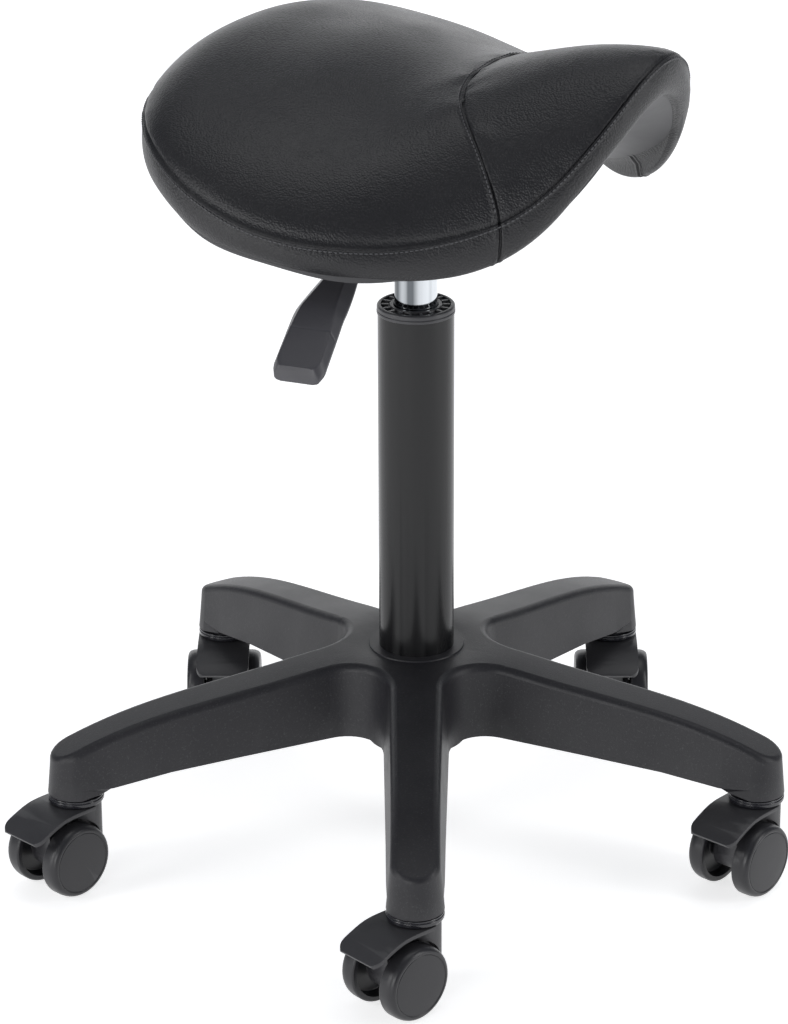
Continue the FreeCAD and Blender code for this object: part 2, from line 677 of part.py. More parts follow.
# ---------------------------------------------------------------- casters
def caster(name, stem_x, stem_y, angle):
    """One twin-wheel caster; in its own frame the axle trails along +X behind the stem."""
    place = heading(angle, stem_x, stem_y)
    ring_low, ring_high = dim("neck_ring_base"), dim("neck_ring_thickness")
    shank, gap, low = dim("shank_radius"), dim("fit_gap"), dim("shank_base")
    pin, base = dim("stem_hole_radius"), dim("socket_base")
    top = base + dim("stem_hole_depth") - 2
    stem = turned(f"caster_{name}_stem", [
        (0, low), (shank, low), (shank, base - 0.2), (pin, base - 0.2), (pin, top - 8),
        (pin - 0.8, top - 8), (pin - 0.8, top - 5), (pin, top - 5), (pin, top - 1.5),
        (pin - 1.5, top), (0, top)])
    stem.Placement = place

    outer = dim("neck_ring_radius")
    ring = turned(f"caster_{name}_neck_ring", [
        (shank + 1, ring_low), (outer - 1.2, ring_low), (outer, ring_low + 1.2),
        (outer, ring_low + ring_high - 1.2), (outer - 1.2, ring_low + ring_high),
        (shank + 1, ring_low + ring_high)])
    ring.Placement = place

    # Hood and body: a curved fender over the wheels, a round body on the stem that is cut away
    # round each wheel, a web between the wheels and a boss on the axle.
    trail, radius = dim("trail"), dim("wheel_radius")
    frame = body(f"caster_{name}_housing")
    fender = sketch(frame, f"{name}_fender", "XZ_Plane")
    crown = [(-1, 57.9), (10, 57.9), (19, 57.9), (27, 57), (36, 54.2), (44, 50.8), (50.5, 46.8)]
    under = [(49.3, 45), (42.6, 48.8), (34.8, 52), (26.4, 54.7), (19, 55.4), (-1, 55.4)]
    fender.addGeometry(spline(crown), False)
    for start, end in zip([crown[-1]] + under, under + [crown[0]]):
        fender.addGeometry(Part.LineSegment(Vector(*start, 0), Vector(*end, 0)), False)
    pad(frame, fender, f"{name}_fender_pad", "Dimensions.hood_width", both_ways=True)
    # The lip's corners are rounded in plan.
    side, lip, corner = dim("hood_width") / 2, 50.6, 7
    for way in (1, -1):
        trim = sketch(frame, f"{name}_lip_corner_{'left' if way > 0 else 'right'}", "XY_Plane", 40)
        edge, start = way * (side + 1), way * (side - corner)
        slant = math.sqrt(0.5)
        trim.addGeometry(Part.Arc(
            Vector(lip, start, 0),
            Vector(lip - corner + corner * slant, start + way * corner * slant, 0),
            Vector(lip - corner, way * side, 0)), False)
        outline = [(lip - corner, way * side), (lip - corner, edge), (lip + 1, edge),
                   (lip + 1, start), (lip, start)]
        for first, last in zip(outline, outline[1:]):
            trim.addGeometry(Part.LineSegment(Vector(*first, 0), Vector(*last, 0)), False)
        pocket(frame, trim, f"{name}_lip_cut_{'left' if way > 0 else 'right'}", 30, reverse=True)
    barrel = sketch(frame, f"{name}_barrel", "XY_Plane", 24)
    circle(barrel, 0, 0, "housing_radius")
    pad(frame, barrel, f"{name}_barrel_pad", 33.6)
    # The wheels turn in a round recess; only the web and the boss are added inside it.
    recess = sketch(frame, f"{name}_recess", "XZ_Plane")
    circle(recess, trail, radius, "wheel_radius", " + Dimensions.wheel_clearance")
    pocket(frame, recess, f"{name}_recess_cut", 60, both_ways=True)
    web = sketch(frame, f"{name}_web", "XZ_Plane")
    polygon(web, [(-14, 36), (-8, 25), (4, 18), (17, 15), (27, 19), (30, 27), (32, 53), (-8, 55)])
    pad(frame, web, f"{name}_web_pad", "Dimensions.web_width", both_ways=True)
    boss = sketch(frame, f"{name}_boss", "XZ_Plane")
    circle(boss, trail, radius, "boss_radius")
    pad(frame, boss, f"{name}_boss_pad", "Dimensions.boss_width", both_ways=True)
    neck = sketch(frame, f"{name}_neck", "XY_Plane", 50)
    circle(neck, 0, 0, "neck_ring_radius", " - 5")
    pad(frame, neck, f"{name}_neck_pad", "Dimensions.neck_ring_base - 50.3")
    bore = sketch(frame, f"{name}_stem_bore", "XY_Plane", low - 0.5)
    circle(bore, 0, 0, "shank_radius", " + Dimensions.fit_gap")
    pocket(frame, bore, f"{name}_stem_bore_cut", 40, reverse=True)
    axle_hole = sketch(frame, f"{name}_axle_hole", "XZ_Plane")
    circle(axle_hole, trail, radius, "axle_radius")
    pocket(frame, axle_hole, f"{name}_axle_hole_cut", 60, both_ways=True)
    frame.Placement = place

    inner, width = dim("wheel_inner"), dim("wheel_width")
    axle = body(f"caster_{name}_axle")
    section = sketch(axle, f"{name}_axle_section", "XZ_Plane")
    circle(section, trail, radius, "axle_radius")
    pad(axle, section, f"{name}_axle_pad", "(Dimensions.wheel_inner + 8.5) * 2", both_ways=True)
    axle.Placement = place

    # A wheel: domed outside with a fine ring groove, hollow between rim and hub inside.
    bore_radius = dim("axle_radius") + gap
    face = inner + width
    for side, way in (("left", 1), ("right", -1)):
        wheel = body(f"caster_{name}_wheel_{side}")
        half = sketch(wheel, f"{name}_{side}_wheel_profile", "XY_Plane")
        points = [(bore_radius, inner), (7, inner), (7, inner + 7), (20.5, inner + 7),
                  (21, inner), (radius - 1.6, inner), (radius - 0.4, inner + 0.5),
                  (radius, inner + 1.6), (radius, inner + 6), (radius - 0.4, inner + 8.2),
                  (radius - 1.4, inner + 10.2), (radius - 2.8, inner + 11.5),
                  (20.9, face - 0.9), (20.6, face - 1.2), (20.2, face - 0.6), (10, face - 0.1),
                  (0, face), (0, inner + 10), (bore_radius, inner + 10)]
        polygon(half, [(r, way * y) for r, y in points])
        turn = wheel.newObject("PartDesign::Revolution", f"{name}_{side}_wheel_turn")
        turn.Profile = half
        turn.ReferenceAxis = (half, ["V_Axis"])
        turn.Angle = 360
        wheel.Placement = place.multiply(Placement(Vector(trail, 0, radius), Rotation()))


for leg, (caster_name, caster_heading) in enumerate(zip(CASTER_NAMES, CASTER_HEADINGS)):
    leg_angle = math.radians(-90) + leg * 2 * math.pi / dim("leg_count")
    caster(caster_name, dim("stem_circle") * math.cos(leg_angle),
           dim("stem_circle") * math.sin(leg_angle), caster_heading)


# ---------------------------------------------------------------- check and export
doc.recompute()
for item in doc.Objects:
    if "Invalid" in item.State or "Error" in item.State:
        raise RuntimeError(f"{item.Name} did not rebuild: {item.State}")
os.makedirs("parts", exist_ok=True)
for part in finished:
    shape = part.Shape
    if shape.isNull() or not shape.isValid() or not shape.Solids:
        raise RuntimeError(f"{part.Label} has no sound shape")
    shape.exportStep(f"parts/{part.Label}.step")
    print(f"{part.Label}: {len(shape.Solids)} solid(s), {shape.Volume / 1000:.1f} cm3")
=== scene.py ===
# %% [markdown]
# # A saddle stool, finished around its engineering model
# The frame (base, gas lift, mechanism, casters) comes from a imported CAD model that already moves.
# This notebook gives it its looks: it keeps the parts whose shape is right and repaints them,
# and remakes in mesh code the ones a plain solid can't show, such as the upholstered saddle.
# Everything is in metres, +Z up, with the origin on the floor under the column.

# %% Load the frame
import bpy
import bmesh
import json
import math
import numpy as np
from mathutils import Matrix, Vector, noise
from mathutils.bvhtree import BVHTree
from mathutils.kdtree import KDTree


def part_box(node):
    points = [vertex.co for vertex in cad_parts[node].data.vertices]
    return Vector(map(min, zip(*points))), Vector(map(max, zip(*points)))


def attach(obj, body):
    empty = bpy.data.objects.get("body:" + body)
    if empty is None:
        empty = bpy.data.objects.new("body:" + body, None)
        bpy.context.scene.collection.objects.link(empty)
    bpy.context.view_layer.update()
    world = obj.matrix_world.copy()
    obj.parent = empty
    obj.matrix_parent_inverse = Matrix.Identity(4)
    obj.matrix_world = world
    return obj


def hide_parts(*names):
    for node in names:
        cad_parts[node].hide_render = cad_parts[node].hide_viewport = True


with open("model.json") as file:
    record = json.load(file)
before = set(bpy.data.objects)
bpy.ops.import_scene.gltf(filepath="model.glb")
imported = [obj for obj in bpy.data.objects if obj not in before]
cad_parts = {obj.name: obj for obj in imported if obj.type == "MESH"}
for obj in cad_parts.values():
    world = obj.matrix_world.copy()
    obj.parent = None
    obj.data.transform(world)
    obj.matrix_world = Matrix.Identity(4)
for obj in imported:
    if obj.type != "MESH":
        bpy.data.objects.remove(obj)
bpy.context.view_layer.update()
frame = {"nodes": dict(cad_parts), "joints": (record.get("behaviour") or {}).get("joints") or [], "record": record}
nodes = frame["nodes"]
MM = 0.001

# %% [markdown]
# ## Camera, floor and light
# The stool is seen from the front and a little above, with a long lens, so its upright lines
# hardly converge. Black plastic shows its shape only by what it reflects: one big softbox
# overhead draws the top edges, two tall ones draw the vertical highlights on the column, and a
# low one in front opens the shadow under the seat.

# %% Camera
CAMERA_AT = (0.011, -2.483, 1.276)
CAMERA_TILT_DOWN = 22.8
camera_data = bpy.data.cameras.new("camera")
camera_data.lens = 143.2
camera_data.shift_x = -0.038
camera = bpy.data.objects.new("camera", camera_data)
camera.location = CAMERA_AT
camera.rotation_euler = (math.radians(90 - CAMERA_TILT_DOWN), 0, 0)
bpy.context.scene.collection.objects.link(camera)
bpy.context.scene.camera = camera


# %% Floor and lights
def linked(obj):
    """Put an object in the scene."""
    bpy.context.scene.collection.objects.link(obj)
    return obj


def area_light(name, at, towards, width, height, power):
    """A softbox at a place, turned to a point."""
    data = bpy.data.lights.new(name, "AREA")
    data.shape = "RECTANGLE"
    data.size, data.size_y = width, height
    data.energy = power
    box = linked(bpy.data.objects.new(name, data))
    box.location = at
    box.rotation_euler = (Vector(towards) - Vector(at)).to_track_quat("-Z", "Y").to_euler()
    return box


area_light("overhead_softbox", (0.1, 0.3, 2.4), (0, 0, 0.3), 1.9, 1.5, 12)
area_light("back_wall", (0, 3.2, 0.9), (0, 0, 0.5), 5.0, 1.5, 34)
area_light("left_softbox", (-1.9, -0.9, 0.9), (0, 0, 0.35), 0.45, 1.7, 13)
area_light("right_softbox", (1.9, -0.7, 0.9), (0, 0, 0.35), 0.45, 1.7, 13)
area_light("front_fill", (-1.3, -2.6, 0.7), (0, 0, 0.42), 1.2, 0.8, 20)

# The studio is dim for the object's reflections and white behind it.
world = bpy.data.worlds.new("studio")
world.use_nodes = True
studio = world.node_tree
wire = studio.links.new
room = studio.nodes["Background"]
room.inputs["Color"].default_value = (0.82, 0.88, 1, 1)
room.inputs["Strength"].default_value = 0.18
paper = studio.nodes.new("ShaderNodeBackground")
paper.inputs["Color"].default_value = (1, 1, 1, 1)
paper.inputs["Strength"].default_value = 1.0
seen_by = studio.nodes.new("ShaderNodeLightPath")
either = studio.nodes.new("ShaderNodeMixShader")
wire(seen_by.outputs["Is Camera Ray"], either.inputs["Fac"])
wire(room.outputs[0], either.inputs[1])
wire(paper.outputs[0], either.inputs[2])
wire(either.outputs[0], studio.nodes["World Output"].inputs["Surface"])
bpy.context.scene.world = world
bpy.context.scene.view_settings.view_transform = "Standard"

floor_mesh = bpy.data.meshes.new("floor")
FLOOR_HALF = 12
floor_mesh.from_pydata([(-FLOOR_HALF, -FLOOR_HALF, 0), (FLOOR_HALF, -FLOOR_HALF, 0),
                        (FLOOR_HALF, FLOOR_HALF, 0), (-FLOOR_HALF, FLOOR_HALF, 0)],
                       [], [(0, 1, 2, 3)])
floor = linked(bpy.data.objects.new("floor", floor_mesh))

# %% [markdown]
# ## Shader groups
# Three effects are shared by several finishes, so each is a node group with its own inputs:
# a moulded spark-eroded grain, a leather pebble grain, and the faint dust and rubbed edges of a
# stool that has been used. The groups give masks and heights; the Principled shader stays in
# each material.


# %% Group helpers
def node_group(name, inputs, outputs):
    """An empty shader group with its sockets, its input node and its output node."""
    group = bpy.data.node_groups.new(name, "ShaderNodeTree")
    for label, kind, value in inputs:
        socket = group.interface.new_socket(label, in_out="INPUT", socket_type=kind)
        socket.default_value = value
    for label, kind in outputs:
        group.interface.new_socket(label, in_out="OUTPUT", socket_type=kind)
    return group, group.nodes.new("NodeGroupInput"), group.nodes.new("NodeGroupOutput")


def add(tree, kind, **settings):
    """A node with its settings; a setting that names an input sets that input."""
    node = tree.nodes.new(kind)
    for key, value in settings.items():
        if key in node.inputs:
            node.inputs[key].default_value = value
        else:
            setattr(node, key, value)
    return node


def math_node(tree, operation, first, second=None):
    """A maths node fed by sockets or numbers."""
    node = add(tree, "ShaderNodeMath", operation=operation)
    for index, value in enumerate((first, second)):
        if value is None:
            continue
        if isinstance(value, (int, float)):
            node.inputs[index].default_value = value
        else:
            tree.links.new(value, node.inputs[index])
    return node.outputs[0]


# %% Moulded grain group
grain, grain_in, grain_out = node_group(
    "moulded_grain",
    [("Scale", "NodeSocketFloat", 900.0), ("Speckle", "NodeSocketFloat", 0.3)],
    [("Height", "NodeSocketFloat"), ("Speckle", "NodeSocketFloat")])
wire = grain.links.new
place = add(grain, "ShaderNodeTexCoord")
fine = add(grain, "ShaderNodeTexNoise", Detail=3.0, Roughness=0.6)
wire(place.outputs["Object"], fine.inputs["Vector"])
wire(grain_in.outputs["Scale"], fine.inputs["Scale"])
cells = add(grain, "ShaderNodeTexVoronoi", feature="F1")
wire(place.outputs["Object"], cells.inputs["Vector"])
wire(grain_in.outputs["Scale"], cells.inputs["Scale"])
total = math_node(grain, "ADD", fine.outputs["Fac"],
                  math_node(grain, "MULTIPLY", cells.outputs["Distance"], 0.5))
wire(total, grain_out.inputs["Height"])
spots = add(grain, "ShaderNodeTexNoise", Detail=4.0, Roughness=0.8)
wire(place.outputs["Object"], spots.inputs["Vector"])
wire(math_node(grain, "MULTIPLY", grain_in.outputs["Scale"], 0.6),
                spots.inputs["Scale"])
bright = math_node(grain, "MAXIMUM", math_node(grain, "SUBTRACT", spots.outputs["Fac"], 0.56), 0.0)
wire(math_node(grain, "MULTIPLY", bright, grain_in.outputs["Speckle"]),
                grain_out.inputs["Speckle"])

# %% Wear and dust group
wear, wear_in, wear_out = node_group(
    "wear_and_dust",
    [("Edge width", "NodeSocketFloat", 0.5), ("Dust", "NodeSocketFloat", 0.3)],
    [("Edge", "NodeSocketFloat"), ("Dust", "NodeSocketFloat"), ("Patches", "NodeSocketFloat")])
wire = wear.links.new
geometry = add(wear, "ShaderNodeNewGeometry")
ridge = math_node(wear, "SUBTRACT", geometry.outputs["Pointiness"], 0.52)
ridge = math_node(wear, "MULTIPLY", ridge, 14.0)
ridge = math_node(wear, "MINIMUM", math_node(wear, "MAXIMUM", ridge, 0.0), 1.0)
wire(math_node(wear, "MULTIPLY", ridge, wear_in.outputs["Edge width"]),
               wear_out.inputs["Edge"])
split = add(wear, "ShaderNodeSeparateXYZ")
wire(geometry.outputs["Normal"], split.inputs[0])
upward = math_node(wear, "MAXIMUM", split.outputs["Z"], 0.0)
place = add(wear, "ShaderNodeTexCoord")
drift = add(wear, "ShaderNodeTexNoise", Scale=34.0, Detail=5.0, Roughness=0.65)
wire(place.outputs["Object"], drift.inputs["Vector"])
settled = math_node(wear, "MULTIPLY", math_node(wear, "POWER", upward, 2.0),
                    drift.outputs["Fac"])
wire(math_node(wear, "MULTIPLY", settled, wear_in.outputs["Dust"]),
               wear_out.inputs["Dust"])
wire(drift.outputs["Fac"], wear_out.inputs["Patches"])

# %% Leather grain group
pebble, pebble_in, pebble_out = node_group(
    "leather_grain",
    [("Scale", "NodeSocketFloat", 620.0), ("Crease", "NodeSocketFloat", 0.4)],
    [("Height", "NodeSocketFloat"), ("Valleys", "NodeSocketFloat")])
wire = pebble.links.new
place = add(pebble, "ShaderNodeTexCoord")
bend = add(pebble, "ShaderNodeTexNoise", Scale=90.0, Detail=2.0)
wire(place.outputs["Object"], bend.inputs["Vector"])
shift = add(pebble, "ShaderNodeVectorMath", operation="MULTIPLY_ADD")
wire(bend.outputs["Color"], shift.inputs[0])
shift.inputs[1].default_value = (0.003, 0.003, 0.003)
wire(place.outputs["Object"], shift.inputs[2])
bumps = add(pebble, "ShaderNodeTexVoronoi", feature="SMOOTH_F1", Smoothness=0.35)
wire(shift.outputs[0], bumps.inputs["Vector"])
wire(pebble_in.outputs["Scale"], bumps.inputs["Scale"])
pores = add(pebble, "ShaderNodeTexNoise", Detail=3.0)
wire(place.outputs["Object"], pores.inputs["Vector"])
wire(math_node(pebble, "MULTIPLY", pebble_in.outputs["Scale"], 2.1),
                 pores.inputs["Scale"])
folds = add(pebble, "ShaderNodeTexNoise", Scale=46.0, Detail=3.0, Distortion=0.6)
wire(place.outputs["Object"], folds.inputs["Vector"])
dome = math_node(pebble, "SUBTRACT", 1.0, bumps.outputs["Distance"])
height = math_node(pebble, "ADD", dome, math_node(pebble, "MULTIPLY", pores.outputs["Fac"], 0.25))
height = math_node(pebble, "ADD", height,
                   math_node(pebble, "MULTIPLY", folds.outputs["Fac"],
                             pebble_in.outputs["Crease"]))
wire(height, pebble_out.inputs["Height"])
wire(bumps.outputs["Distance"], pebble_out.inputs["Valleys"])

# %% [markdown]
# ## Materials
# Each finish is one Principled shader. Constants such as the sheen or the coat sit on the
# shader's own sockets; only colour, roughness and normal are driven over the surface.


# %% Material builder
def finish(name, colour, rough, metallic=0.0, grain_scale=900.0, bump=0.0, bump_depth=0.0002,
           speckle=0.0, edge=0.0, dust=0.0, rough_spread=0.08, coat=0.0, specular=0.5):
    """A plastic, paint or metal finish with grain, speckle, rubbed edges and settled dust."""
    material = bpy.data.materials.new(name)
    material.use_nodes = True
    tree = material.node_tree
    wire = tree.links.new
    shader = tree.nodes["Principled BSDF"]
    for socket, value in (("Metallic", metallic), ("Coat Weight", coat), ("Coat Roughness", 0.12),
                          ("Specular IOR Level", specular)):
        shader.inputs[socket].default_value = value
    texture = add(tree, "ShaderNodeGroup", node_tree=grain)
    texture.inputs["Scale"].default_value = grain_scale
    texture.inputs["Speckle"].default_value = speckle
    worn = add(tree, "ShaderNodeGroup", node_tree=wear)
    worn.inputs["Edge width"].default_value = edge
    worn.inputs["Dust"].default_value = dust
    lift = math_node(tree, "ADD", texture.outputs["Speckle"], worn.outputs["Dust"])
    lift = math_node(tree, "ADD", lift, worn.outputs["Edge"])
    blend = add(tree, "ShaderNodeMix", data_type="RGBA")
    blend.inputs["A"].default_value = (*colour, 1)
    blend.inputs["B"].default_value = (0.42, 0.42, 0.42, 1)
    wire(lift, blend.inputs["Factor"])
    wire(blend.outputs["Result"], shader.inputs["Base Color"])
    spread = math_node(tree, "MULTIPLY",
                       math_node(tree, "SUBTRACT", worn.outputs["Patches"], 0.5), rough_spread * 2)
    wire(math_node(tree, "ADD", spread, rough), shader.inputs["Roughness"])
    if bump:
        relief = add(tree, "ShaderNodeBump", Strength=bump, Distance=bump_depth)
        wire(texture.outputs["Height"], relief.inputs["Height"])
        wire(relief.outputs["Normal"], shader.inputs["Normal"])
    return material


def leather(name, colour, rough, scale, bump, bump_depth, crease):
    """Coated synthetic leather: pebbled, with soft creases and a low sheen."""
    material = bpy.data.materials.new(name)
    material.use_nodes = True
    tree = material.node_tree
    wire = tree.links.new
    shader = tree.nodes["Principled BSDF"]
    for socket, value in (("Specular IOR Level", 0.42), ("Sheen Weight", 0.03),
                          ("Sheen Roughness", 0.5)):
        shader.inputs[socket].default_value = value
    texture = add(tree, "ShaderNodeGroup", node_tree=pebble)
    texture.inputs["Scale"].default_value = scale
    texture.inputs["Crease"].default_value = crease
    worn = add(tree, "ShaderNodeGroup", node_tree=wear)
    worn.inputs["Edge width"].default_value = 0.02
    worn.inputs["Dust"].default_value = 0.006
    blend = add(tree, "ShaderNodeMix", data_type="RGBA")
    blend.inputs["A"].default_value = (*colour, 1)
    blend.inputs["B"].default_value = (0.006, 0.006, 0.007, 1)
    wire(math_node(tree, "MULTIPLY", texture.outputs["Valleys"], 0.9),
                   blend.inputs["Factor"])
    dusty = add(tree, "ShaderNodeMix", data_type="RGBA")
    dusty.inputs["B"].default_value = (0.4, 0.4, 0.4, 1)
    wire(blend.outputs["Result"], dusty.inputs["A"])
    wire(math_node(tree, "ADD", worn.outputs["Dust"], worn.outputs["Edge"]),
                   dusty.inputs["Factor"])
    wire(dusty.outputs["Result"], shader.inputs["Base Color"])
    polish = math_node(tree, "MULTIPLY",
                       math_node(tree, "SUBTRACT", worn.outputs["Patches"], 0.5), 0.14)
    valley = math_node(tree, "MULTIPLY", texture.outputs["Valleys"], 0.12)
    wire(math_node(tree, "ADD", math_node(tree, "ADD", polish, valley), rough),
                   shader.inputs["Roughness"])
    relief = add(tree, "ShaderNodeBump", Strength=bump, Distance=bump_depth)
    wire(texture.outputs["Height"], relief.inputs["Height"])
    wire(relief.outputs["Normal"], shader.inputs["Normal"])
    return material


# %% Painted reflection streaks
def paint_reflection_streaks(material):
    """Painted reflection streaks: light and dark lines along the axis of a polished rod, put into the chrome's
    colour from noise stretched along Z.
    """
    tree = material.node_tree
    wire = tree.links.new
    place = add(tree, "ShaderNodeTexCoord")
    stretch = add(tree, "ShaderNodeMapping")
    stretch.inputs["Scale"].default_value = (90, 90, 0.6)
    wire(place.outputs["Object"], stretch.inputs["Vector"])
    lines = add(tree, "ShaderNodeTexNoise", Scale=1.0, Detail=1.5, Roughness=0.4)
    wire(stretch.outputs[0], lines.inputs["Vector"])
    # The ramp's dark and light ends are the painted reflection's dark bands and highlights.
    ramp = add(tree, "ShaderNodeValToRGB")
    ramp.color_ramp.elements[0].position, ramp.color_ramp.elements[1].position = 0.38, 0.62
    ramp.color_ramp.elements[0].color = (0.12, 0.13, 0.14, 1)
    ramp.color_ramp.elements[1].color = (0.72, 0.75, 0.78, 1)
    wire(lines.outputs["Fac"], ramp.inputs[0])
    wire(ramp.outputs[0], tree.nodes["Principled BSDF"].inputs["Base Color"])


# %% The stool's finishes
base_nylon = finish("base_nylon", (0.0125, 0.0121, 0.0150), 0.45, grain_scale=1100, bump=0.35,
                    bump_depth=0.00025, speckle=0.5, edge=0.03, dust=0.04, specular=0.42)
column_paint = finish("column_paint", (0.0015, 0.0015, 0.0021), 0.22, grain_scale=700, bump=0.04,
                      edge=0.04, dust=0.01, rough_spread=0.04, specular=0.27)
bush_plastic = finish("bush_plastic", (0.040, 0.040, 0.044), 0.38, bump=0.12, edge=0.05)
caster_nylon = finish("caster_nylon", (0.028, 0.0276, 0.0308), 0.42, grain_scale=1300, bump=0.18,
                      speckle=0.12, edge=0.05, dust=0.05)
caster_ring = finish("caster_ring", (0.014, 0.014, 0.018), 0.2, bump=0.04, edge=0.04, coat=0.3)
wheel_nylon = finish("wheel_nylon", (0.0118, 0.0115, 0.0142), 0.36, grain_scale=1200, bump=0.14,
                     speckle=0.1, edge=0.05, dust=0.08)
pan_plastic = finish("pan_plastic", (0.035, 0.035, 0.038), 0.45, grain_scale=1500, bump=0.08,
                     edge=0.02, dust=0.02)
lever_plastic = finish("lever_plastic", (0.047, 0.046, 0.053), 0.42, grain_scale=1400, bump=0.2,
                       speckle=0.05, edge=0.06, dust=0.03)
mechanism_paint = finish("mechanism_paint", (0.013, 0.013, 0.014), 0.38, grain_scale=600,
                         bump=0.15, edge=0.12, dust=0.05)
zinc_steel = finish("zinc_steel", (0.55, 0.55, 0.53), 0.34, metallic=1.0, bump=0.08)
chrome = finish("cylinder_chrome", (0.33, 0.34, 0.36), 0.07, metallic=1.0, bump=0.01,
                rough_spread=0.02)
# The chrome's colour carries painted reflection streaks: dark and light lines along the rod.
paint_reflection_streaks(chrome)
rubber = finish("buffer_rubber", (0.012, 0.012, 0.012), 0.6, bump=0.1)
seat_leather = leather("seat_cover", (0.0150, 0.0148, 0.0172), 0.36, 760.0, 0.6, 0.0005, 0.10)
thread = finish("thread", (0.062, 0.062, 0.067), 0.5, grain_scale=2600, bump=0.4,
                bump_depth=0.0001)
floor_paper = bpy.data.materials.new("floor_paper")
floor_paper.use_nodes = True
sheet = floor_paper.node_tree.nodes["Principled BSDF"]
sheet.inputs["Base Color"].default_value = (0.85, 0.85, 0.85, 1)
sheet.inputs["Roughness"].default_value = 0.7
sheet.inputs["Emission Color"].default_value = (1, 1, 1, 1)
sheet.inputs["Emission Strength"].default_value = 0.68
floor.data.materials.append(floor_paper)
print("finishes", len(bpy.data.materials))

# %% Paint the CAD parts by their slots
SLOT_FINISH = {
    "base_nylon": base_nylon, "column_paint": column_paint, "bush_plastic": bush_plastic,
    "zinc_steel": zinc_steel, "rod_steel": chrome, "buffer_rubber": rubber,
    "cylinder_chrome": chrome, "seal_plastic": bush_plastic,
    "mechanism_paint": mechanism_paint, "pan_plastic": pan_plastic, "seat_foam": seat_leather,
    "seat_cover": seat_leather, "lever_steel": mechanism_paint, "lever_plastic": lever_plastic,
    "caster_nylon": caster_nylon, "caster_ring": caster_ring, "wheel_nylon": wheel_nylon,
}
slot_of = {row["node"]: row["material_slot"] for row in frame["record"]["subparts"]}
for name, node in nodes.items():
    for place in node.material_slots:
        place.material = SLOT_FINISH[slot_of[name]]

# %% [markdown]
# ## Mesh helpers
# Most remade pieces are either turned on a lathe or lofted over a grid. Corners are rounded
# with true arcs, because a moulded edge is what catches the light.


# %% Helpers for meshes
def shade(data, smooth):
    """Smooth or flat shading for a whole mesh."""
    for polygon in data.polygons:
        polygon.use_smooth = smooth


def mesh_piece(name, points, faces, material):
    """An object from points in metres, with its faces pointing outwards."""
    data = bpy.data.meshes.new(name)
    data.from_pydata([tuple(p) for p in points], [], faces)
    work = bmesh.new()
    work.from_mesh(data)
    bmesh.ops.remove_doubles(work, verts=work.verts, dist=1e-6)
    bmesh.ops.recalc_face_normals(work, faces=work.faces)
    work.to_mesh(data)
    work.free()
    data.materials.append(material)
    shade(data, True)
    return linked(bpy.data.objects.new(name, data))


def smooth_through(xs, ys):
    """A natural cubic spline through (x, y) pairs, as a function that takes arrays."""
    xs, ys = np.array(xs, float), np.array(ys, float)
    gaps, slopes = np.diff(xs), np.diff(ys) / np.diff(xs)
    count = len(xs)
    system = np.eye(count)
    rhs = np.zeros(count)
    for i in range(1, count - 1):
        system[i, i - 1:i + 2] = (gaps[i - 1], 2 * (gaps[i - 1] + gaps[i]), gaps[i])
        rhs[i] = 6 * (slopes[i] - slopes[i - 1])
    curve = np.linalg.solve(system, rhs)

    def value(x):
        x = np.asarray(x, float)
        i = np.clip(np.searchsorted(xs, x) - 1, 0, count - 2)
        left, right = x - xs[i], xs[i + 1] - x
        gap = gaps[i]
        return ((curve[i] * right ** 3 + curve[i + 1] * left ** 3) / (6 * gap)
                + (ys[i] / gap - curve[i] * gap / 6) * right
                + (ys[i + 1] / gap - curve[i + 1] * gap / 6) * left)
    return value


def rounded(points, radii, steps=6):
    """A polyline with each corner replaced by an arc of the given radius."""
    points = [np.array(p, float) for p in points]
    result = []
    for i, corner in enumerate(points):
        radius = radii[i]
        if i in (0, len(points) - 1) or radius <= 0:
            result.append(corner)
            continue
        before = points[i - 1] - corner
        after = points[i + 1] - corner
        reach_before, reach_after = np.linalg.norm(before), np.linalg.norm(after)
        before, after = before / reach_before, after / reach_after
        half = math.acos(np.clip(before @ after, -1, 1)) / 2
        if half > math.radians(88):
            result.append(corner)
            continue
        back = min(radius / math.tan(half), 0.49 * reach_before, 0.49 * reach_after)
        radius = back * math.tan(half)
        middle = (before + after) / np.linalg.norm(before + after)
        centre = corner + middle * radius / math.sin(half)
        start, end = corner + before * back - centre, corner + after * back - centre
        for step in range(steps + 1):
            share = step / steps
            arm = start * (1 - share) + end * share
            result.append(centre + arm * radius / np.linalg.norm(arm))
    return result


def lathe(profile, segments, origin, axis):
    """Points and faces of a (radius, height) profile in mm turned about an axis."""
    axis = Vector(axis).normalized()
    side = axis.orthogonal().normalized()
    other = axis.cross(side)
    points, faces = [], []
    count = len(profile)
    for k in range(segments):
        angle = 2 * math.pi * k / segments
        out = side * math.cos(angle) + other * math.sin(angle)
        for radius, height in profile:
            points.append(Vector(origin) + (out * radius + axis * height) * MM)
        ahead = (k + 1) % segments
        for i in range(count - 1):
            faces.append((k * count + i, ahead * count + i, ahead * count + i + 1,
                          k * count + i + 1))
    return points, faces

# %% [markdown]
# ## The saddle cushion
# The seat is one upholstered pad: a rear panel, a nose panel, and a side band that joins them all
# the way round. A saddle is hard to sketch but easy to state: along its middle line the height
# follows a spline, and away from that line it falls with the square of the distance, faster
# towards the nose. The rim is a spline in polar form, and the edge rolls over like a quarter
# ellipse. Each panel is a grid fitted between its seams, so every seam is a row of the mesh.

# %% The saddle's rule
SEAT_HEADING = math.radians(-30)
NOSE = np.array([math.cos(SEAT_HEADING), math.sin(SEAT_HEADING)])
SIDE = np.array([-NOSE[1], NOSE[0]])
RAISED = 2.0

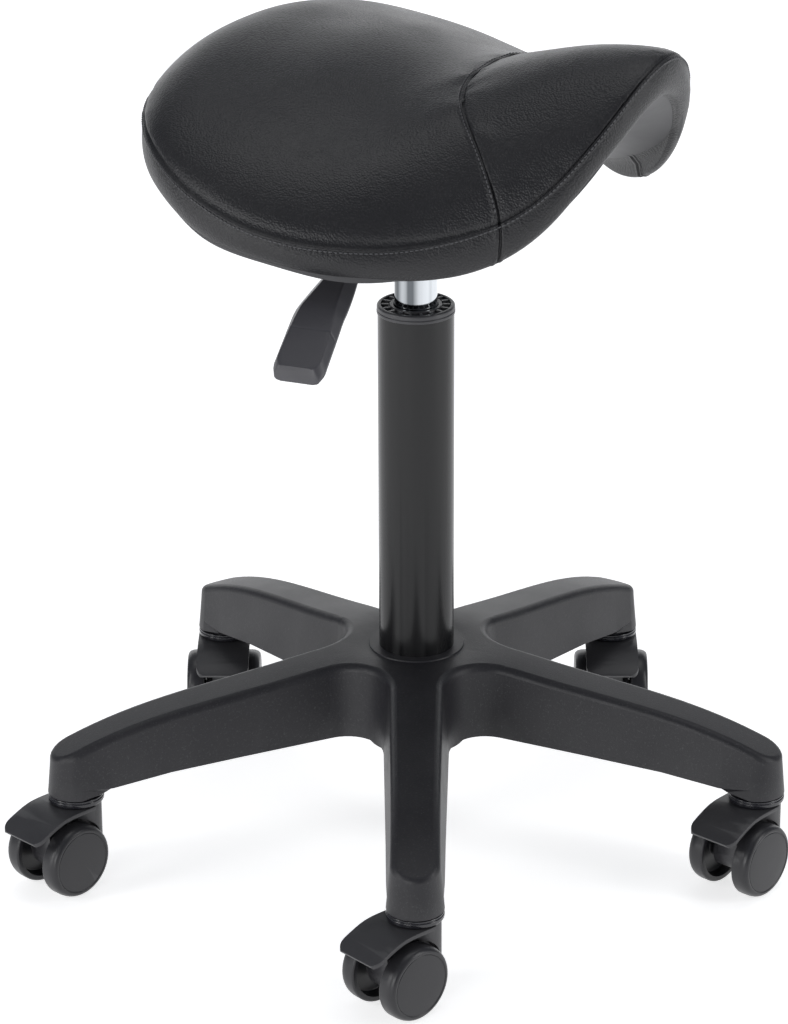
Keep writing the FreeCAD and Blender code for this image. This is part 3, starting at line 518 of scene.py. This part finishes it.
rim_half = smooth_through([-15, 0, 15, 30, 45, 60, 80, 100, 125, 150, 180, 205],
                          [175, 178, 175, 164.6, 153.5, 153.1, 169.4, 184.3, 182.1, 164.1,
                           161.9, 166])
ridge_height = smooth_through([-180, -130, -80, -30, 20, 70, 120, 160, 195],
                              [510.9, 549.2, 551.8, 549.3, 542.6, 551.6, 565.4, 571.4, 578.2])
fall_off = smooth_through([-180, -90, -20, 50, 110, 150, 195],
                          [1.56, 1.25, 1.61, 2.63, 6.14, 8.6, 9.51])
edge_drop = smooth_through([-45, 0, 45, 90, 135, 180, 225],
                           [15, 6.2, 15, 14.8, 11.4, 11.3, 11.4])
band_height = smooth_through([-50, 0, 50, 90, 135, 180, 225],
                             [26.5, 20.2, 26.5, 15, 25.5, 19.5, 25.5])
EDGE_ROLL = 36.3
SEAM_MIDDLE, SEAM_BOW, SEAM_END = 55.0, 63.0, 102.0


def rim_radius(theta):
    """Distance of the rim from the column axis, in the seat's own directions."""
    return rim_half(np.degrees(np.abs(np.arctan2(np.sin(theta), np.cos(theta)))))


def rim_at(theta):
    """A point of the rim in plan: towards the nose, towards the left."""
    return rim_radius(theta)[..., None] * np.stack([np.cos(theta), np.sin(theta)], -1)


def top_height(ahead, left):
    """Height of the cover over a point of the plan."""
    theta = np.arctan2(left, ahead)
    side = np.degrees(np.abs(theta))
    inward = np.clip(1 - (rim_radius(theta) - np.hypot(ahead, left)) / EDGE_ROLL, 0, 1)
    rolled = edge_drop(side) * (1 - np.sqrt(1 - inward ** 2))
    return ridge_height(ahead) - fall_off(ahead) * MM * left ** 2 - rolled + RAISED


def to_world(ahead, left, up):
    """From the seat's own directions in millimetres to the scene in metres."""
    ahead, left, up = np.broadcast_arrays(ahead, left, up)
    plan = ahead[..., None] * NOSE + left[..., None] * SIDE
    return np.concatenate([plan, up[..., None]], -1) * MM


seam_theta = math.atan2(SEAM_END, SEAM_MIDDLE + SEAM_BOW)
for _ in range(8):
    end = rim_at(np.array(seam_theta))
    seam_theta = math.atan2(end[1], SEAM_MIDDLE + SEAM_BOW * (end[1] / SEAM_END) ** 3)
SEAM_HALF = float(rim_at(np.array(seam_theta))[1])
print("cross seam meets the rim at", round(math.degrees(seam_theta), 1), "degrees")

# %% Panel grids between the seams
ACROSS, REAR_ROWS, NOSE_ROWS = 60, 44, 30
TAIL_CORNER, NOSE_CORNER = math.radians(132), math.radians(14)


def crowded(count):
    """Steps from -1 to 1 that crowd towards both ends."""
    return np.sin(np.linspace(-math.pi / 2, math.pi / 2, count + 1))


def patch(first, last, right, left):
    """A grid in plan blended between four border lines that share their corners."""
    u = np.linspace(0, 1, len(first))[None, :, None]
    v = np.linspace(0, 1, len(right))[:, None, None]
    rows = first[None] * (1 - v) + last[None] * v
    columns = right[:, None] * (1 - u) + left[:, None] * u
    corners = (first[0] * (1 - u) * (1 - v) + first[-1] * u * (1 - v)
               + last[0] * (1 - u) * v + last[-1] * u * v)
    return rows + columns - corners


spread = crowded(ACROSS)
seam_left = SEAM_HALF * spread
seam_line = np.stack([SEAM_MIDDLE + SEAM_BOW * np.abs(seam_left / SEAM_END) ** 3, seam_left], -1)
share = 0.5 * (1 + crowded(REAR_ROWS))
rear_sides = seam_theta + (TAIL_CORNER - seam_theta) * share
tail_line = math.pi + (math.pi - TAIL_CORNER) * -np.linspace(-1, 1, ACROSS + 1)
rear_grid = patch(seam_line, rim_at(tail_line), rim_at(-rear_sides), rim_at(rear_sides))
share = 0.5 * (1 + crowded(NOSE_ROWS))
nose_sides = seam_theta + (NOSE_CORNER - seam_theta) * share
nose_line = NOSE_CORNER * np.linspace(-1, 1, ACROSS + 1)
nose_grid = patch(seam_line, rim_at(nose_line), rim_at(-nose_sides), rim_at(nose_sides))
print("panel grids", rear_grid.shape, nose_grid.shape)

# %% Stitch the panels, the band and the hem into one closed cushion
points = []
faces = []
index_of = {}


def vertex(position):
    """The index of a vertex at a place, shared with any vertex already there."""
    key = tuple(np.round(position * 1e6).astype(int))
    if key not in index_of:
        index_of[key] = len(points)
        points.append(position)
    return index_of[key]


def sheet_of(grid):
    """Vertices and faces over one panel grid; returns the grid of vertex indices."""
    places = to_world(grid[..., 0], grid[..., 1], top_height(grid[..., 0], grid[..., 1]))
    numbers = [[vertex(place) for place in row] for row in places]
    for row, after in zip(numbers, numbers[1:]):
        for a, b, c, d in zip(row, row[1:], after[1:], after):
            faces.append((a, b, c, d))
    return numbers


rear_numbers = sheet_of(rear_grid)
nose_numbers = sheet_of(nose_grid)
rim_loop = ([row[-1] for row in rear_numbers[:-1]] + rear_numbers[-1][::-1]
            + [row[0] for row in rear_numbers[-2::-1]] + [row[0] for row in nose_numbers[1:-1]]
            + nose_numbers[-1] + [row[-1] for row in nose_numbers[-2:0:-1]])
rim_points = np.array([points[i] for i in rim_loop])
rim_plan = np.stack([rim_points[:, :2] @ NOSE, rim_points[:, :2] @ SIDE], -1) / MM
along = np.roll(rim_plan, -1, 0) - np.roll(rim_plan, 1, 0)
outward = np.stack([along[:, 1], -along[:, 0]], -1)
outward /= np.linalg.norm(outward, axis=1)[:, None]
outward *= np.sign((outward * rim_plan).sum(1))[:, None]
rim_up = rim_points[:, 2] / MM

pan = nodes["seat_pan"]
bpy.context.evaluated_depsgraph_get()
UP = Vector((0, 0, 1))


def pan_underside(place):
    """Height in mm of the pan's underside over a point of the plan, or None past its edge."""
    hit, at, _, _ = pan.ray_cast(Vector((place[0], place[1], 0.2)), UP)
    return at.z / MM if hit else None


def undersides(plan):
    """Pan heights round a loop of the plan; a miss takes its neighbour's height."""
    heights = [pan_underside(place) for place in to_world(plan[:, 0], plan[:, 1], 0.0)]
    known = [h for h in heights if h is not None]
    last = known[0]
    for i, h in enumerate(heights):
        last = h if h is not None else last
        heights[i] = last
    return np.array(heights)


BAND_ROWS = ((0.02, 0.3), (0.045, 0.6), (0.07, 0.8), (0.105, 1.05), (0.16, 1.3), (0.25, 1.7),
             (0.36, 1.9), (0.48, 1.9), (0.60, 1.5), (0.71, 0.9), (0.81, 0.0), (0.89, -1.2),
             (0.955, -2.8), (1.0, -5.0))
HEM_GAP, HEM_REACH, INSIDE_PAN = 0.5, 9.0, 4.0
pan_edge = undersides(rim_plan - 7.0 * outward)
rim_side = np.degrees(np.abs(np.arctan2(rim_plan[:, 1], rim_plan[:, 0])))
bottom_up = np.minimum(pan_edge - HEM_GAP, rim_up - band_height(rim_side))
print("band depth", *(rim_up - bottom_up)[[0, len(rim_up) // 2]].round(1))
loops = [rim_loop]
for fall, out in BAND_ROWS:
    plan = rim_plan + out * outward
    up = rim_up + (bottom_up - rim_up) * fall
    loops.append([vertex(p) for p in to_world(plan[:, 0], plan[:, 1], up)])
for inset, rise in ((6.6, -HEM_GAP), (8.0, -HEM_GAP), (8.8, -0.5), (HEM_REACH, INSIDE_PAN)):
    plan = rim_plan - inset * outward
    up = undersides(plan) + rise
    if rise < 0:
        up = np.minimum(up, bottom_up + 0.4 * (inset - 5))
    loops.append([vertex(p) for p in to_world(plan[:, 0], plan[:, 1], up)])
for scale in (0.78, 0.62, 0.46, 0.3, 0.14):
    plan = (rim_plan - HEM_REACH * outward) * scale
    up = undersides(plan) + INSIDE_PAN
    loops.append([vertex(p) for p in to_world(plan[:, 0], plan[:, 1], up)])
for upper, lower in zip(loops, loops[1:]):
    for a, b, c, d in zip(upper, upper[1:] + upper[:1], lower[1:] + lower[:1], lower):
        faces.append((a, b, c, d))
middle = vertex(to_world(0.0, 0.0, pan_underside((0.0, 0.05)) + INSIDE_PAN))
for a, b in zip(loops[-1], loops[-1][1:] + loops[-1][:1]):
    faces.append((a, b, middle))

rim_set = set(rim_loop)
seam_set = set(rear_numbers[0])
held = rim_set | seam_set | {i for loop in loops[len(BAND_ROWS):] for i in loop} | {middle}
cushion = mesh_piece("saddle_cushion", points, faces, seat_leather)


def tree_of(places):
    """A search tree over a list of places."""
    tree = KDTree(len(places))
    for i, place in enumerate(places):
        tree.insert(place, i)
    tree.balance()
    return tree


merged = tree_of([v.co for v in cushion.data.vertices])
now_at = [merged.find(place)[1] for place in points]
print("cushion", len(cushion.data.vertices), "vertices,", len(held), "held by seams and hem")

# %% [markdown]
# ### Filling it
# The cover is taut over foam. A short cloth simulation with a little pressure inside swells each
# panel between its seams, which are pinned, and the swelling is capped at a few millimetres so
# that the pad keeps its size.

# %% Swell the panels with cloth
PUFF_CAP = 0.0022
rest = np.array([v.co[:] for v in cushion.data.vertices])
pins = cushion.vertex_groups.new(name="sewn")
pins.add(sorted({now_at[i] for i in held}), 1.0, "REPLACE")
cloth = cushion.modifiers.new("fill", "CLOTH")
settings = cloth.settings
settings.effector_weights.gravity = 0
settings.use_pressure = True
settings.uniform_pressure_force = 1.5
settings.vertex_group_mass = "sewn"
settings.tension_stiffness = 40
settings.compression_stiffness = 40
settings.bending_stiffness = 8
settings.quality = 6
bpy.context.scene.frame_start, bpy.context.scene.frame_end = 1, 20
for step in range(1, 21):
    bpy.context.scene.frame_set(step)
swollen = cushion.evaluated_get(bpy.context.evaluated_depsgraph_get()).to_mesh()
moved = np.array([v.co[:] for v in swollen.vertices]) - rest
far = np.linalg.norm(moved, axis=1)
print("cloth moved up to", round(float(far.max()) * 1000, 2), "mm")
capped = moved * (PUFF_CAP * np.tanh(far / PUFF_CAP) / np.maximum(far, 1e-9))[:, None]
cushion.modifiers.remove(cloth)
cushion.data.vertices.foreach_set("co", (rest + capped).ravel())
cushion.vertex_groups.clear()
bpy.context.scene.frame_set(1)

# %% [markdown]
# ### Seams
# After one subdivision the seams are pressed in: a sharp valley where two panels meet, and a
# raised strip on the side where the seam allowance is turned under and stitched down.

# %% Subdivide and press the seams in
marks = cushion.data.attributes.new("seam_mark", "FLOAT_VECTOR", "POINT")
smoothing = cushion.modifiers.new("smooth", "SUBSURF")
smoothing.levels = smoothing.render_levels = 1
flags = np.zeros((len(cushion.data.vertices), 3))
band_set = {i for loop in loops[1:] for i in loop}
for column, chosen in enumerate((rim_set, seam_set, band_set)):
    flags[[now_at[i] for i in chosen], column] = 1
marks.data.foreach_set("vector", flags.ravel())
print("marked", int(flags[:, 0].sum()), "rim and", int(flags[:, 1].sum()), "seam vertices")
fine = bpy.data.meshes.new_from_object(cushion.evaluated_get(bpy.context.evaluated_depsgraph_get()))
cushion.modifiers.clear()
cushion.data = fine
count = len(fine.vertices)
flags = np.zeros(count * 3)
fine.attributes["seam_mark"].data.foreach_get("vector", flags)
flags = flags.reshape(-1, 3)
place = np.zeros(count * 3)
fine.vertices.foreach_get("co", place)
place = place.reshape(-1, 3)
normal = np.array([v.normal[:] for v in fine.vertices])


def distance_to(chosen):
    """Distance in mm from every vertex of the cushion to the nearest of the chosen ones."""
    tree = tree_of(place[chosen])
    return np.array([tree.find(p)[2] for p in place]) / MM


def rise_and_fall(distance, start, full, leave, end):
    """A smooth strip: 0 before start, 1 from full to leave, 0 after end."""
    up = np.clip((distance - start) / (full - start), 0, 1)
    down = np.clip((end - distance) / (end - leave), 0, 1)
    return (up * up * (3 - 2 * up)) * (down * down * (3 - 2 * down))


rim_rows = np.nonzero(flags[:, 0] > 0.99)[0]
seam_rows = np.nonzero(flags[:, 1] > 0.99)[0]
on_band = flags[:, 2] > 0.4
from_rim = distance_to(rim_rows)
from_seam = distance_to(seam_rows)
ahead = (place[:, :2] @ NOSE) / MM
left = (place[:, :2] @ SIDE) / MM
behind = ahead < SEAM_MIDDLE + SEAM_BOW * np.abs(left / SEAM_END) ** 3
seam_press = 1.3 * np.exp(-(from_seam / 0.7) ** 2) + 0.3 * np.exp(-(from_seam / 4) ** 2)
rim_press = 1.6 * np.exp(-(from_rim / 0.6) ** 2) + 0.2 * np.exp(-(from_rim / 3) ** 2)
side_angle = np.abs(np.arctan2(left, ahead))
from_side = np.abs(side_angle - seam_theta) * np.hypot(ahead, left)
strip = 0.7 * rise_and_fall(from_seam, 0.5, 1.1, 2.6, 3.6) * (behind & ~on_band)
strip += 0.7 * rise_and_fall(from_rim, 0.4, 0.9, 2.4, 3.4) * on_band
strip += 0.4 * rise_and_fall(from_side, 0.5, 1.2, 2.6, 4.2) * on_band
stitched = 0.25 * np.exp(-((from_seam - 2.2) / 0.5) ** 2) * (behind & ~on_band)
stitched += 0.2 * np.exp(-((from_rim - 1.8) / 0.5) ** 2) * on_band
near = np.exp(-(np.minimum(from_seam, from_rim) / 9) ** 2)
pucker = np.array([noise.noise(Vector(p) * 150) for p in place]) * 0.35 * near
wave = np.array([noise.noise(Vector(p) * 22 + Vector((3, 1, 2))) for p in place]) * 0.45
hem_side = normal[:, 2] < -0.9
side_press = 1.3 * np.exp(-(from_side / 0.8) ** 2) * on_band
shift = strip + pucker + wave - seam_press - rim_press - side_press - stitched
place = place + normal * (shift * ~hem_side)[:, None] * MM
fine.vertices.foreach_set("co", place.ravel())
fine.update()
shade(fine, True)
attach(cushion, "seat_carrier")
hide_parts("cover_rear", "cover_front", "side_band", "seat_foam")
print("cushion finished with", len(fine.polygons), "faces")

# %% [markdown]
# ### Stitches
# A row of stitches is one short thread shape repeated along a path, which is what Geometry Nodes
# are for: the tree turns a polyline into a curve, spaces points along it by the stitch pitch and
# stands a thread on each point along the curve's tangent. The polylines lie on the finished
# cushion: one all round the band under the rim, one across the cover behind its seam.


# %% Helpers for Geometry Nodes
def geometry_tree(name, inputs):
    """A Geometry Nodes tree with a geometry input, named inputs and a geometry output."""
    tree = bpy.data.node_groups.new(name, "GeometryNodeTree")
    tree.interface.new_socket("Geometry", in_out="INPUT", socket_type="NodeSocketGeometry")
    for label, kind in inputs:
        tree.interface.new_socket(label, in_out="INPUT", socket_type=kind)
    tree.interface.new_socket("Geometry", in_out="OUTPUT", socket_type="NodeSocketGeometry")
    return tree, tree.nodes.new("NodeGroupInput"), tree.nodes.new("NodeGroupOutput")


def finish_tree(tree, geometry, material, out):
    """The end of every tree: real geometry with its material."""
    wire = tree.links.new
    real = add(tree, "GeometryNodeRealizeInstances")
    wire(geometry, real.inputs[0])
    paint = add(tree, "GeometryNodeSetMaterial")
    wire(real.outputs[0], paint.inputs["Geometry"])
    wire(material, paint.inputs["Material"])
    wire(paint.outputs[0], out.inputs[0])


def grow(obj, tree, **values):
    """Run a tree on an object and keep the result as its plain mesh."""
    modifier = obj.modifiers.new("grow", "NODES")
    modifier.node_group = tree
    for item in tree.interface.items_tree:
        if item.in_out == "INPUT" and item.name in values:
            modifier[item.identifier] = values[item.name]
    seen = obj.evaluated_get(bpy.context.evaluated_depsgraph_get())
    data = bpy.data.meshes.new_from_object(seen)
    obj.modifiers.remove(modifier)
    obj.data = data
    shade(data, True)
    return obj


# %% The stitch tree
stitch_tree, tree_in, tree_out = geometry_tree(
    "stitch_row", [("Pitch", "NodeSocketFloat"), ("Size", "NodeSocketVector"),
                   ("Material", "NodeSocketMaterial")])
wire = stitch_tree.links.new
curve = add(stitch_tree, "GeometryNodeMeshToCurve")
wire(tree_in.outputs["Geometry"], curve.inputs["Mesh"])
evenly = add(stitch_tree, "GeometryNodeResampleCurve", mode="LENGTH")
wire(curve.outputs[0], evenly.inputs["Curve"])
wire(tree_in.outputs["Pitch"], evenly.inputs["Length"])
thread_shape = add(stitch_tree, "GeometryNodeMeshUVSphere", Segments=8, Rings=6, Radius=1.0)
tangent = add(stitch_tree, "GeometryNodeInputTangent")
turn = add(stitch_tree, "FunctionNodeAlignRotationToVector", axis="Z")
wire(tangent.outputs[0], turn.inputs["Vector"])
stand = add(stitch_tree, "GeometryNodeInstanceOnPoints")
wire(evenly.outputs[0], stand.inputs["Points"])
wire(thread_shape.outputs["Mesh"], stand.inputs["Instance"])
wire(turn.outputs[0], stand.inputs["Rotation"])
wire(tree_in.outputs["Size"], stand.inputs["Scale"])
finish_tree(stitch_tree, stand.outputs[0], tree_in.outputs["Material"], tree_out)

# %% Lay the two rows on the cushion
surface = BVHTree.FromPolygons([v.co[:] for v in fine.vertices],
                               [p.vertices[:] for p in fine.polygons])
STITCH_PITCH = 0.0031
STITCH_LIFT = 0.00022
STITCH_SIZE = (0.0005, 0.0005, 0.00122)


def on_cover(places, lift):
    """Places moved to the cover's surface and a little out of it."""
    laid = []
    for place in places:
        at, normal_there, _, _ = surface.find_nearest(Vector(place))
        laid.append(at + normal_there * lift)
    return laid


def stitch_row(name, places, closed):
    """A row of stitches along a polyline."""
    count = len(places)
    edges = [(i, i + 1) for i in range(count - 1)] + ([(count - 1, 0)] if closed else [])
    data = bpy.data.meshes.new(name)
    data.from_pydata([tuple(p) for p in places], edges, [])
    row = grow(linked(bpy.data.objects.new(name, data)), stitch_tree,
               Pitch=STITCH_PITCH, Size=STITCH_SIZE, Material=thread)
    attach(row, "seat_carrier")
    print(name, len(row.data.polygons), "faces")


below_rim = rim_points + np.array([0, 0, -1.9 * MM])
below_rim[:, :2] += (outward[:, :1] * NOSE + outward[:, 1:] * SIDE) * 1.2 * MM
stitch_row("rim_stitches", on_cover(below_rim, STITCH_LIFT), True)
behind_seam = np.stack([seam_line[:, 0] - 2.2, seam_line[:, 1]], -1)[2:-2]
heights = top_height(behind_seam[:, 0], behind_seam[:, 1])
stitch_row("seam_stitches",
           on_cover(to_world(behind_seam[:, 0], behind_seam[:, 1], heights), STITCH_LIFT), False)

# %% [markdown]
# ## Column collar
# The top of the column is closed by a plastic guide bush: a rounded lip over the tube's edge, a
# sunk ring with small radial ribs, and a raised collar that the chrome cylinder slides in. The
# round part is turned on a lathe, and the ribs are repeated round it by Geometry Nodes.

# %% Guide bush
bush_low, bush_high = [corner[2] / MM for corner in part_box("guide_bush")]
cylinder_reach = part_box("gas_cylinder")[1][0] / MM
lip_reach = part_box("guide_bush")[1][0] / MM
tube_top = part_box("column_tube")[1][2] / MM
profile = [(cylinder_reach + 0.1, bush_low), (23.3, bush_low), (23.3, tube_top + 0.1),
           (lip_reach, tube_top + 0.1), (lip_reach, tube_top + 2.0),
           (lip_reach - 0.5, tube_top + 2.3), (lip_reach - 0.15, tube_top + 2.7),
           (lip_reach - 0.15, bush_high), (22.9, bush_high),
           (22.6, bush_high - 1.6), (17.4, bush_high - 1.6), (17.0, bush_high + 0.0),
           (cylinder_reach + 1.0, bush_high), (cylinder_reach + 0.1, bush_high - 1.2),
           (cylinder_reach + 0.1, bush_low)]
smooth_profile = rounded(profile, [0, 0, 0, 0.5, 0.3, 0.1, 0.3, 1.8, 0.5, 0.3, 0.3, 0.5, 0.6,
                                   0.4, 0])
bush = mesh_piece("guide_bush_turned", *lathe(smooth_profile, 128, (0, 0, 0), (0, 0, 1)),
                  bush_plastic)

rib_tree, tree_in, tree_out = geometry_tree(
    "ring_of_ribs", [("Count", "NodeSocketInt"), ("Radius", "NodeSocketFloat"),
                     ("Height", "NodeSocketFloat"), ("Size", "NodeSocketVector"),
                     ("Material", "NodeSocketMaterial")])
wire = rib_tree.links.new
ring = add(rib_tree, "GeometryNodeMeshCircle")
wire(tree_in.outputs["Count"], ring.inputs["Vertices"])
wire(tree_in.outputs["Radius"], ring.inputs["Radius"])
rib = add(rib_tree, "GeometryNodeMeshCube")
wire(tree_in.outputs["Size"], rib.inputs["Size"])
where = add(rib_tree, "GeometryNodeInputPosition")
face_out = add(rib_tree, "FunctionNodeAlignRotationToVector", axis="X")
wire(where.outputs[0], face_out.inputs["Vector"])
stand = add(rib_tree, "GeometryNodeInstanceOnPoints")
wire(ring.outputs[0], stand.inputs["Points"])
wire(rib.outputs["Mesh"], stand.inputs["Instance"])
wire(face_out.outputs[0], stand.inputs["Rotation"])
raise_by = add(rib_tree, "ShaderNodeCombineXYZ")
wire(tree_in.outputs["Height"], raise_by.inputs["Z"])
lifted = add(rib_tree, "GeometryNodeTransform")
wire(stand.outputs[0], lifted.inputs["Geometry"])
wire(raise_by.outputs[0], lifted.inputs["Translation"])
finish_tree(rib_tree, lifted.outputs[0], tree_in.outputs["Material"], tree_out)
ribs = grow(linked(bpy.data.objects.new("bush_ribs", bpy.data.meshes.new("bush_ribs"))), rib_tree,
            Count=18, Radius=0.0200, Height=(bush_high - 1.3) * MM,
            Size=(0.0046, 0.0016, 0.0022), Material=bush_plastic)
shade(ribs.data, False)
for piece in (bush, ribs):
    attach(piece, "base")
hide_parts("guide_bush")
print("bush ribs", len(ribs.data.polygons), "faces")

# %% [markdown]
# ## Wheels
# Ten wheels, each on its own axle, so each is a piece of its own. A wheel is a lathe shape:
# hollow inside behind a thin rim, a broad rounded shoulder, and a slightly domed face with one
# fine ring step near its edge.

# %% Wheels and neck rings
joint_of = {joint["name"]: joint for joint in frame["joints"]}
CASTERS = ("front", "right", "rear_right", "rear_left", "left")
WHEEL_RADIUS, WHEEL_WIDTH = 25.0, 13.0
SHOULDER = [(20.9 + 4.1 * math.cos(turn) ** 0.8, 5.0 + 7.4 * math.sin(turn) ** 0.8)
            for turn in np.linspace(0, math.pi / 2, 16)]
WHEEL_PROFILE = (rounded([(3.1, 0), (7, 0), (7, 7), (20.2, 7), (21.2, 0), (WHEEL_RADIUS, 0),
                          (WHEEL_RADIUS, 5)], [0, 0.5, 1, 1, 0.5, 1.5, 0], steps=6)[:-1] + SHOULDER
                 + rounded([(20.7, 11.7), (20.2, 12.35), (11, 12.9), (0, WHEEL_WIDTH)],
                           [0, 0.3, 9, 0], steps=6))
RING_PROFILE = [(6.0, 0), (18.5, 0), (18.5, 2.9), (17.9, 3.4), (18.3, 3.9), (18.3, 4.9),
                (6.0, 4.9)]
for name in CASTERS:
    stem = Vector(joint_of[f"caster_{name}_swivel"]["pos_m"])
    ring_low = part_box(f"caster_{name}_neck_ring")[0][2] / MM
    round_ring = rounded([(r, h + ring_low) for r, h in RING_PROFILE],
                         [0, 1.0, 0.5, 0.25, 0.3, 0.8, 0], steps=5)
    ring = mesh_piece(f"caster_{name}_collar", *lathe(round_ring, 96, (stem.x, stem.y, 0),
                                                      (0, 0, 1)), caster_ring)
    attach(ring, f"caster_{name}")
    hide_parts(f"caster_{name}_neck_ring")
    for side, way in (("left", 1), ("right", -1)):
        node = f"caster_{name}_wheel_{side}"
        spin = joint_of[f"{node}_spin"]
        axis = Vector(spin["axis"]) * way
        low, high = (Vector(corner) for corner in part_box(node))
        centre = (low + high) / 2
        inner_face = centre - axis * (WHEEL_WIDTH / 2) * MM
        wheel = mesh_piece(f"{node}_moulded", *lathe(WHEEL_PROFILE, 96, inner_face, axis),
                           wheel_nylon)
        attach(wheel, node)
        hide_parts(node)
print("wheels", 2 * len(CASTERS), "of", len(WHEEL_PROFILE) * 96, "quads")

# %% [markdown]
# ## Rounding the moulded parts
# A moulded part never has a knife edge. The caster housings keep the shape of the engineering
# model, so each gets a merged copy of its mesh with its sharp edges bevelled:
# the thin bright line that a rounded edge draws is what makes black plastic read as a solid.


# %% Bevelled copies
EDGE_RADIUS, SHARP_ANGLE = 0.7, 34


def softened(node_name, name, body, material):
    """A copy of a CAD piece with its sharp edges rounded."""
    work = bmesh.new()
    work.from_mesh(nodes[node_name].data)
    bmesh.ops.remove_doubles(work, verts=work.verts, dist=2e-6)
    bmesh.ops.dissolve_limit(work, angle_limit=math.radians(0.5), verts=work.verts,
                             edges=work.edges)
    bmesh.ops.recalc_face_normals(work, faces=work.faces)
    data = bpy.data.meshes.new(name)
    work.to_mesh(data)
    work.free()
    data.materials.append(material)
    piece = linked(bpy.data.objects.new(name, data))
    bevel = piece.modifiers.new("rounded_edges", "BEVEL")
    bevel.width = EDGE_RADIUS * MM
    bevel.segments = 3
    bevel.limit_method = "ANGLE"
    bevel.angle_limit = math.radians(SHARP_ANGLE)
    bevel.use_clamp_overlap = True
    seen = piece.evaluated_get(bpy.context.evaluated_depsgraph_get())
    done = bpy.data.meshes.new_from_object(seen)
    piece.modifiers.clear()
    piece.data = done
    shade(done, True)
    done.set_sharp_from_angle(angle=math.radians(38))
    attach(piece, body)
    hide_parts(node_name)
    print(name, len(done.polygons), "faces")


for name in CASTERS:
    softened(f"caster_{name}_housing", f"caster_{name}_shell", f"caster_{name}",
             caster_nylon)

# %% [markdown]
# ## Lever paddle
# The paddle is lofted along its own slope: it leaves the rod narrow, runs gently down to a knee,
# then drops more steeply as it widens. Its walls flare a little towards the bottom, the top is
# split by a fine groove below the knee, and the tip is closed by a chamfered end wall.

# %% Loft the paddle
LEVER_HEADING = math.radians(-111)
REACH = Vector((math.cos(LEVER_HEADING), math.sin(LEVER_HEADING), 0))
ASIDE = Vector((-REACH.y, REACH.x, 0))
slope = np.array(rounded([(108, 450.7), (163, 432.3), (200, 405.1)], [0, 16, 0]))
SPLIT, PADDLE_DEPTH = 177.0, 11.0
top_half = smooth_through([108, 134, 156, 174, 184, 195], [4.6, 6.7, 10.1, 12.9, 13.8, 14.2])
foot_half = smooth_through([108, 131, 148, 157, 176, 195], [7.0, 12.0, 14.8, 15.9, 16.7, 17.0])


def paddle_section(along, inset, sink):
    """One closed section across the paddle, from its left bottom over the top to the right."""
    top = np.interp(along, slope[:, 0], slope[:, 1]) - sink
    narrower = max(0.0, along - 195) * 0.5 + inset
    half = float(top_half(min(along, 195))) - narrower
    foot = float(foot_half(min(along, 195))) - narrower
    flare = foot - half
    wall = [(foot - 4, -PADDLE_DEPTH + inset), (foot - 1.3, -PADDLE_DEPTH + 0.7 + inset),
            (foot - 0.2, -9.0), (foot, -6.8), (foot - 0.12 * flare, -5.6),
            (half + 0.35, -0.9), (half + 0.1, -0.5), (half - 0.3, -0.15),
            (half - 0.9, -inset * 0.6)]
    across = [(half - 3, 0), (half * 0.5, 0), (0, 0)]
    right = [(x, top + z) for x, z in wall + across]
    return [REACH * along * MM + ASIDE * x * MM + UP * z * MM
            for x, z in [(-x, z) for x, z in right] + right[-2::-1]]


stations = [(float(a), 0, 0) for a in np.linspace(108, SPLIT - 1.2, 20)]
stations += [(SPLIT + along, 0, sink)
             for along, sink in ((-0.6, 0), (-0.3, 0.35), (0.3, 0.35), (0.6, 0))]
stations += [(float(a), 0, 0) for a in np.linspace(SPLIT + 1.2, 194, 8)]
stations += [(a, inset, 0) for a, inset in ((196, 0), (198.6, 0), (199.3, 0.3), (199.7, 0.9))]
sections = [paddle_section(*station) for station in stations]
wide = len(sections[0])
points = [p for section in sections for p in section]
faces = [(s * wide + i, s * wide + (i + 1) % wide, (s + 1) * wide + (i + 1) % wide,
          (s + 1) * wide + i) for s in range(len(sections) - 1) for i in range(wide)]
faces += [tuple(range(wide)), tuple(range(len(points) - wide, len(points)))]
paddle = mesh_piece("lever_grip", points, faces, lever_plastic)
paddle.data.set_sharp_from_angle(angle=math.radians(35))
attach(paddle, "lever")
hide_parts("lever_paddle")
print("lever grip", len(paddle.data.polygons), "faces")

# %% [markdown]
# ## Base
# The moulded base keeps the engineering mesh. Only the inner corner of each caster socket is
# rounded back to the socket's circle, so that the leg's underside runs down to the ring in one
# slope instead of a step.

# %% Round back the sockets' inner corners
SOCKET_LOW, SOCKET_STEP, SOCKET_RADIUS = 64.0, 6.5, 18.5
star = linked(bpy.data.objects.new("base_star_moulded", nodes["base_star"].data.copy()))
stems = [Vector(joint_of[f"caster_{name}_swivel"]["pos_m"]) / MM for name in CASTERS]
rounded_back = 0
for v in star.data.vertices:
    spot = v.co / MM
    for stem in stems:
        outward_way = Vector((stem.x, stem.y, 0)).normalized()
        arm = Vector((spot.x - stem.x, spot.y - stem.y, 0))
        inward = -arm.dot(outward_way)
        if SOCKET_RADIUS - 0.1 < inward < 20 and arm.length < 29 and spot.z < SOCKET_LOW + 6:
            share = (spot.z - SOCKET_LOW) / SOCKET_STEP
            reach = SOCKET_RADIUS + (arm.length - SOCKET_RADIUS) * share
            at = Vector((stem.x, stem.y, 0)) + arm.normalized() * reach
            v.co = Vector((at.x, at.y, spot.z)) * MM
            rounded_back += 1
for place in star.material_slots:
    place.material = base_nylon
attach(star, "base")
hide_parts("base_star")
print("base: moved", rounded_back, "corner vertices")
